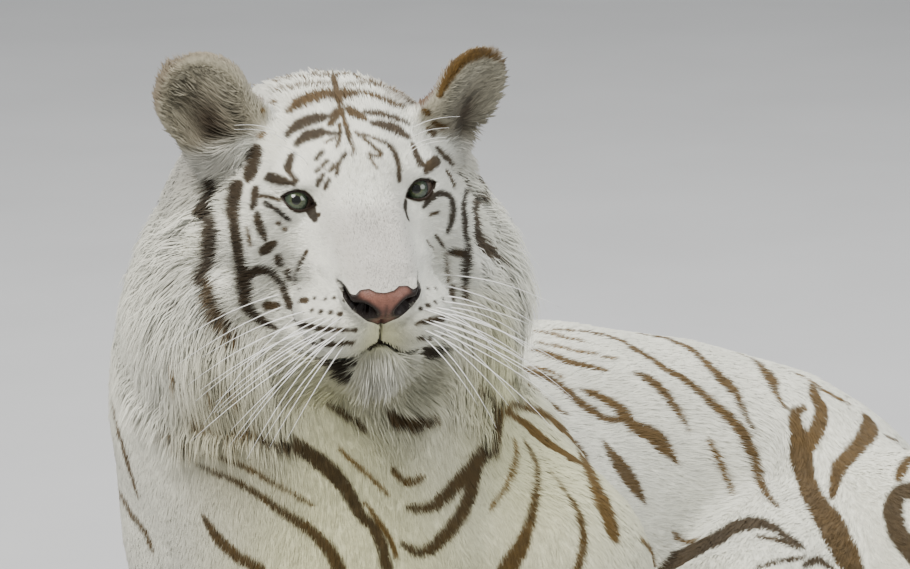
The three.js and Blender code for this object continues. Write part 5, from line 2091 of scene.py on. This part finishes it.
def rim_line(side, upper):
    """Points along one lid's edge from the outer corner to the tear duct."""
    across, up, forward = LID_AXES[side]
    u = np.linspace(LID_OPEN_WIDTH, -LID_OPEN_WIDTH - CANTHUS, RIM_STEPS)
    bow = np.clip(1 - (u / LID_OPEN_WIDTH) ** 2, 0, 1)
    v = (LID_RISE if upper else -LID_DROP) * bow
    v = v - 0.35 * np.clip(-LID_OPEN_WIDTH - u, 0, CANTHUS)
    shell = EYEBALL + 1.2
    ahead = np.sqrt(np.maximum(shell**2 - u**2 - v**2, 60.0))
    line = u[:, None] * across + v[:, None] * up + ahead[:, None] * forward
    return from_head(line + EYE_CENTRES[side])


leather, nodes, links, shader = material("nose_leather")
colour = node(nodes, "ShaderNodeAttribute", attribute_name="coat")
pores, height = noise_band(nodes, links, 900.0, 0.78, 1.12)
links.new(multiply(nodes, links, colour.outputs["Color"], pores), shader.inputs["Base Color"])
cells = node(nodes, "ShaderNodeTexVoronoi", Scale=620.0)
links.new(node(nodes, "ShaderNodeTexCoord").outputs["Object"], cells.inputs["Vector"])
bump(nodes, links, cells.outputs["Distance"], 0.5, 0.0006, shader)
settings(shader, Roughness=0.42, Specular_IOR_Level=0.22, Coat_Weight=0.03, Coat_Roughness=0.3)

taper = RIM_RADIUS * np.sin(np.linspace(0.25, math.pi - 0.3, RIM_STEPS)) ** 0.35
rims = joined("lid_rims", [
    tube(rim_line(side, upper), taper * (UPPER_RIM if upper else LOWER_RIM))
    for side in SIDES for upper in (True, False)
])
paint(rims.data, "coat", RIM_COLOUR)
rims.data.materials.append(leather)
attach(rims, "root")


NOSE_RAISED, NOSE_SET_IN, NOSE_THICK = 1.5, 0.7, 1.6
NOSE_EDGE, NOSE_EASE = 1.6, 1.4  # how far past its outline it reaches, and over how much inside it rises


# The pink is round the nostrils, and fades outward, at the nose's edge, down its middle and towards its foot
PINK_HOLE, PINK_OUT, PINK_EDGE = (1.5, 7.0), (20, 30), (-0.5, 3.0)
GROOVE_WIDTH, GROOVE_DOWN, GROOVE_DARK = 1.6, (60, 70), 0.55
FOOT_DOWN, FOOT_DARK, CORNER_OUT, CORNER_DOWN = (58, 76), 0.45, (8, 15), (68, 80)
LEATHER_TONE = (0.16, 9.0)
# how far the inside of the nostrils is darkened as painted shade, and over what edge
HOLE_SHADE, HOLE_EDGE = 0.35, (-1.0, 1.0)


def nose_piece():
    """The bare nose: the skin's own faces inside its outline, raised and given thickness."""
    h = to_head(skin_points)
    depth = leather_at(h)
    chosen = [f for f in skin_faces if depth[list(f)].min() > -NOSE_EDGE]
    used = np.unique(np.concatenate([np.asarray(f) for f in chosen]))
    number = np.full(len(skin_points), -1)
    number[used] = np.arange(len(used))
    normals = read(skin.data.vertices, "normal", 3)[used].astype(float)
    inner = ramp(depth[used], -NOSE_EDGE, NOSE_EASE)
    top = skin_points[used] + normals * (NOSE_RAISED * inner - NOSE_SET_IN)[:, None]
    under = skin_points[used] - normals * NOSE_THICK
    faces = [[int(number[i]) for i in f] for f in chosen]
    count = len(used)
    edges = dict.fromkeys((a, b) for f in faces for a, b in zip(f, f[1:] + f[:1]))
    walls = [[b, a, a + count, b + count] for a, b in edges if (b, a) not in edges]
    faces += [[i + count for i in f[::-1]] for f in faces] + walls
    made = outward(mesh_object("nose_leather", np.concatenate([top, under]), faces))
    hole = nostrils(h[used])
    x, z = np.abs(h[used, 0]), h[used, 2]
    pink = ramp(hole, *PINK_HOLE) * (1 - ramp(x, *PINK_OUT)) * ramp(depth[used], *PINK_EDGE)
    groove = GROOVE_DARK * bell(x, GROOVE_WIDTH) * ramp(-z, *GROOVE_DOWN)
    pink *= (1 - groove) * (1 - FOOT_DARK * ramp(-z, *FOOT_DOWN))
    pink *= 1 - ramp(x, *CORNER_OUT) * ramp(-z, *CORNER_DOWN)
    tone = np.array(LEATHER_DARK) + (np.array(LEATHER_PINK) - LEATHER_DARK) * pink[:, None]
    tone *= (1 + mottle(skin_points[used], LEATHER_TONE))[:, None]
    # painted shade inside the nostrils
    tone *= (HOLE_SHADE + (1 - HOLE_SHADE) * ramp(hole, *HOLE_EDGE))[:, None]
    paint(made.data, "coat", np.concatenate([tone, tone]))
    made.data.materials.append(leather)
    return made


nose = nose_piece()
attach(nose, "root")
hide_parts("nose")

WHISKER_ROWS = [  # height of the row on the pad, how many, length of the longest, how steeply they point down
    (-82.0, 5, 110.0, 0.1), (-91.0, 6, 150.0, 0.15), (-101.0, 6, 165.0, 0.3), (-111.0, 5, 130.0, 0.75),
]
WHISKER_RADIUS, BROW_HAIR_RADIUS, THINNED = 0.7, 0.45, 0.8  # a hair's tip is thinner by the last
# The first of each is for the whisker nearest the nose. The second is what each further one adds.
WHISKER_OUT, WHISKER_FALL = (40, 8.0), 0.72
WAY_OUT, WAY_AHEAD, WAY_DOWN = (0.86, 0.03), (-0.48, 0.13), 0.1
WHISKER_LENGTHS, WHISKER_SAGS, WHISKER_BACK = (0.6, 1.0), (0.22, 0.42), 0.16
BROW_HAIRS, BROW_OUT, BROW_UP, BROW_LENGTHS = 4, (50, 6), (34, 3), (45, 80)
BROW_WAY, BROW_BEND = (0.3, -0.55, 0.75), (0.3, 0, -0.25)
BACK = Vector(HEAD_TURN @ np.array((0, 1.0, 0)))


def root_behind(point):
    """Where the skin lies behind a point of the head's frame, if it does."""
    hit = skin_tree.ray_cast(Vector(from_head([point])[0]), BACK, 260.0)[0]
    return None if hit is None else np.array(hit)


def whiskers():
    """The whiskers, and the long hairs over the eyes."""
    random = np.random.default_rng(WHISKER_SEED)
    parts = []
    for side in SIDES:
        for z, count, longest, drop in WHISKER_ROWS:
            for k in range(count):
                x = side * (WHISKER_OUT[0] + WHISKER_OUT[1] * k + random.uniform(-1, 1))
                root = root_behind((x, -200.0, z - WHISKER_FALL * k + random.uniform(-1, 1)))
                if root is None:
                    continue
                out, ahead = (first + more * k for first, more in (WAY_OUT, WAY_AHEAD))
                way = np.array([side * out, ahead, -drop - WAY_DOWN * random.uniform()])
                way = HEAD_TURN @ (way / np.linalg.norm(way))
                length = longest * random.uniform(*WHISKER_LENGTHS)
                t = np.linspace(0, 1, 9)[:, None]
                back = HEAD_TURN @ np.array([0, WHISKER_BACK, 0]) * length
                sag = np.array([0, 0, -1.0]) * length * random.uniform(*WHISKER_SAGS)
                line = root - way * 2 + way * length * t + (sag + back) * t**2
                parts.append(tube(line, WHISKER_RADIUS * (1 - THINNED * t[:, 0]), 5))
        for k in range(BROW_HAIRS):
            root = root_behind((side * (BROW_OUT[0] + BROW_OUT[1] * k), -100, BROW_UP[0] + BROW_UP[1] * k))
            if root is None:
                continue
            out, ahead, up = BROW_WAY
            way = HEAD_TURN @ unit(np.array([[side * (out + 0.1 * k), ahead, up]]))[0]
            length = random.uniform(*BROW_LENGTHS)
            t = np.linspace(0, 1, 7)[:, None]
            bend = np.array(BROW_BEND) * (side, 1, 1)
            line = root - way * 2 + way * length * t + bend * length * t**2
            parts.append(tube(line, BROW_HAIR_RADIUS * (1 - THINNED * t[:, 0]), 5))
    return joined("whiskers", parts)


whisker_piece = whiskers()
hair, nodes, links, shader = material("whisker_hair")
tone, _ = noise_band(nodes, links, 40.0, 0.78, 0.92)
warm = node(nodes, "ShaderNodeMix", data_type="RGBA", blend_type="MULTIPLY")
warm.inputs["Factor"].default_value = 1.0
warm.inputs["B"].default_value = (0.98, 0.97, 0.93, 1.0)
links.new(tone, warm.inputs["A"])
links.new(warm.outputs["Result"], shader.inputs["Base Color"])
settings(shader, Roughness=0.35)
whisker_piece.data.materials.append(hair)
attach(whisker_piece, "root")


# ---- The floor ----
FLOOR_REACH = 20000
floor_corners = [(x * FLOOR_REACH, y * FLOOR_REACH, 0) for x, y in ((-1, -1), (1, -1), (1, 1), (-1, 1))]
floor = mesh_object("studio_floor", np.array(floor_corners, float) - SHIFT * (0, 0, 1), [[0, 1, 2, 3]], False)
pale, nodes, links, shader = material("pale_floor")
grain, _ = noise_band(nodes, links, 3.0, 0.50, 0.53)
links.new(grain, shader.inputs["Base Color"])
settings(shader, Roughness=0.85)
floor.data.materials.append(pale)
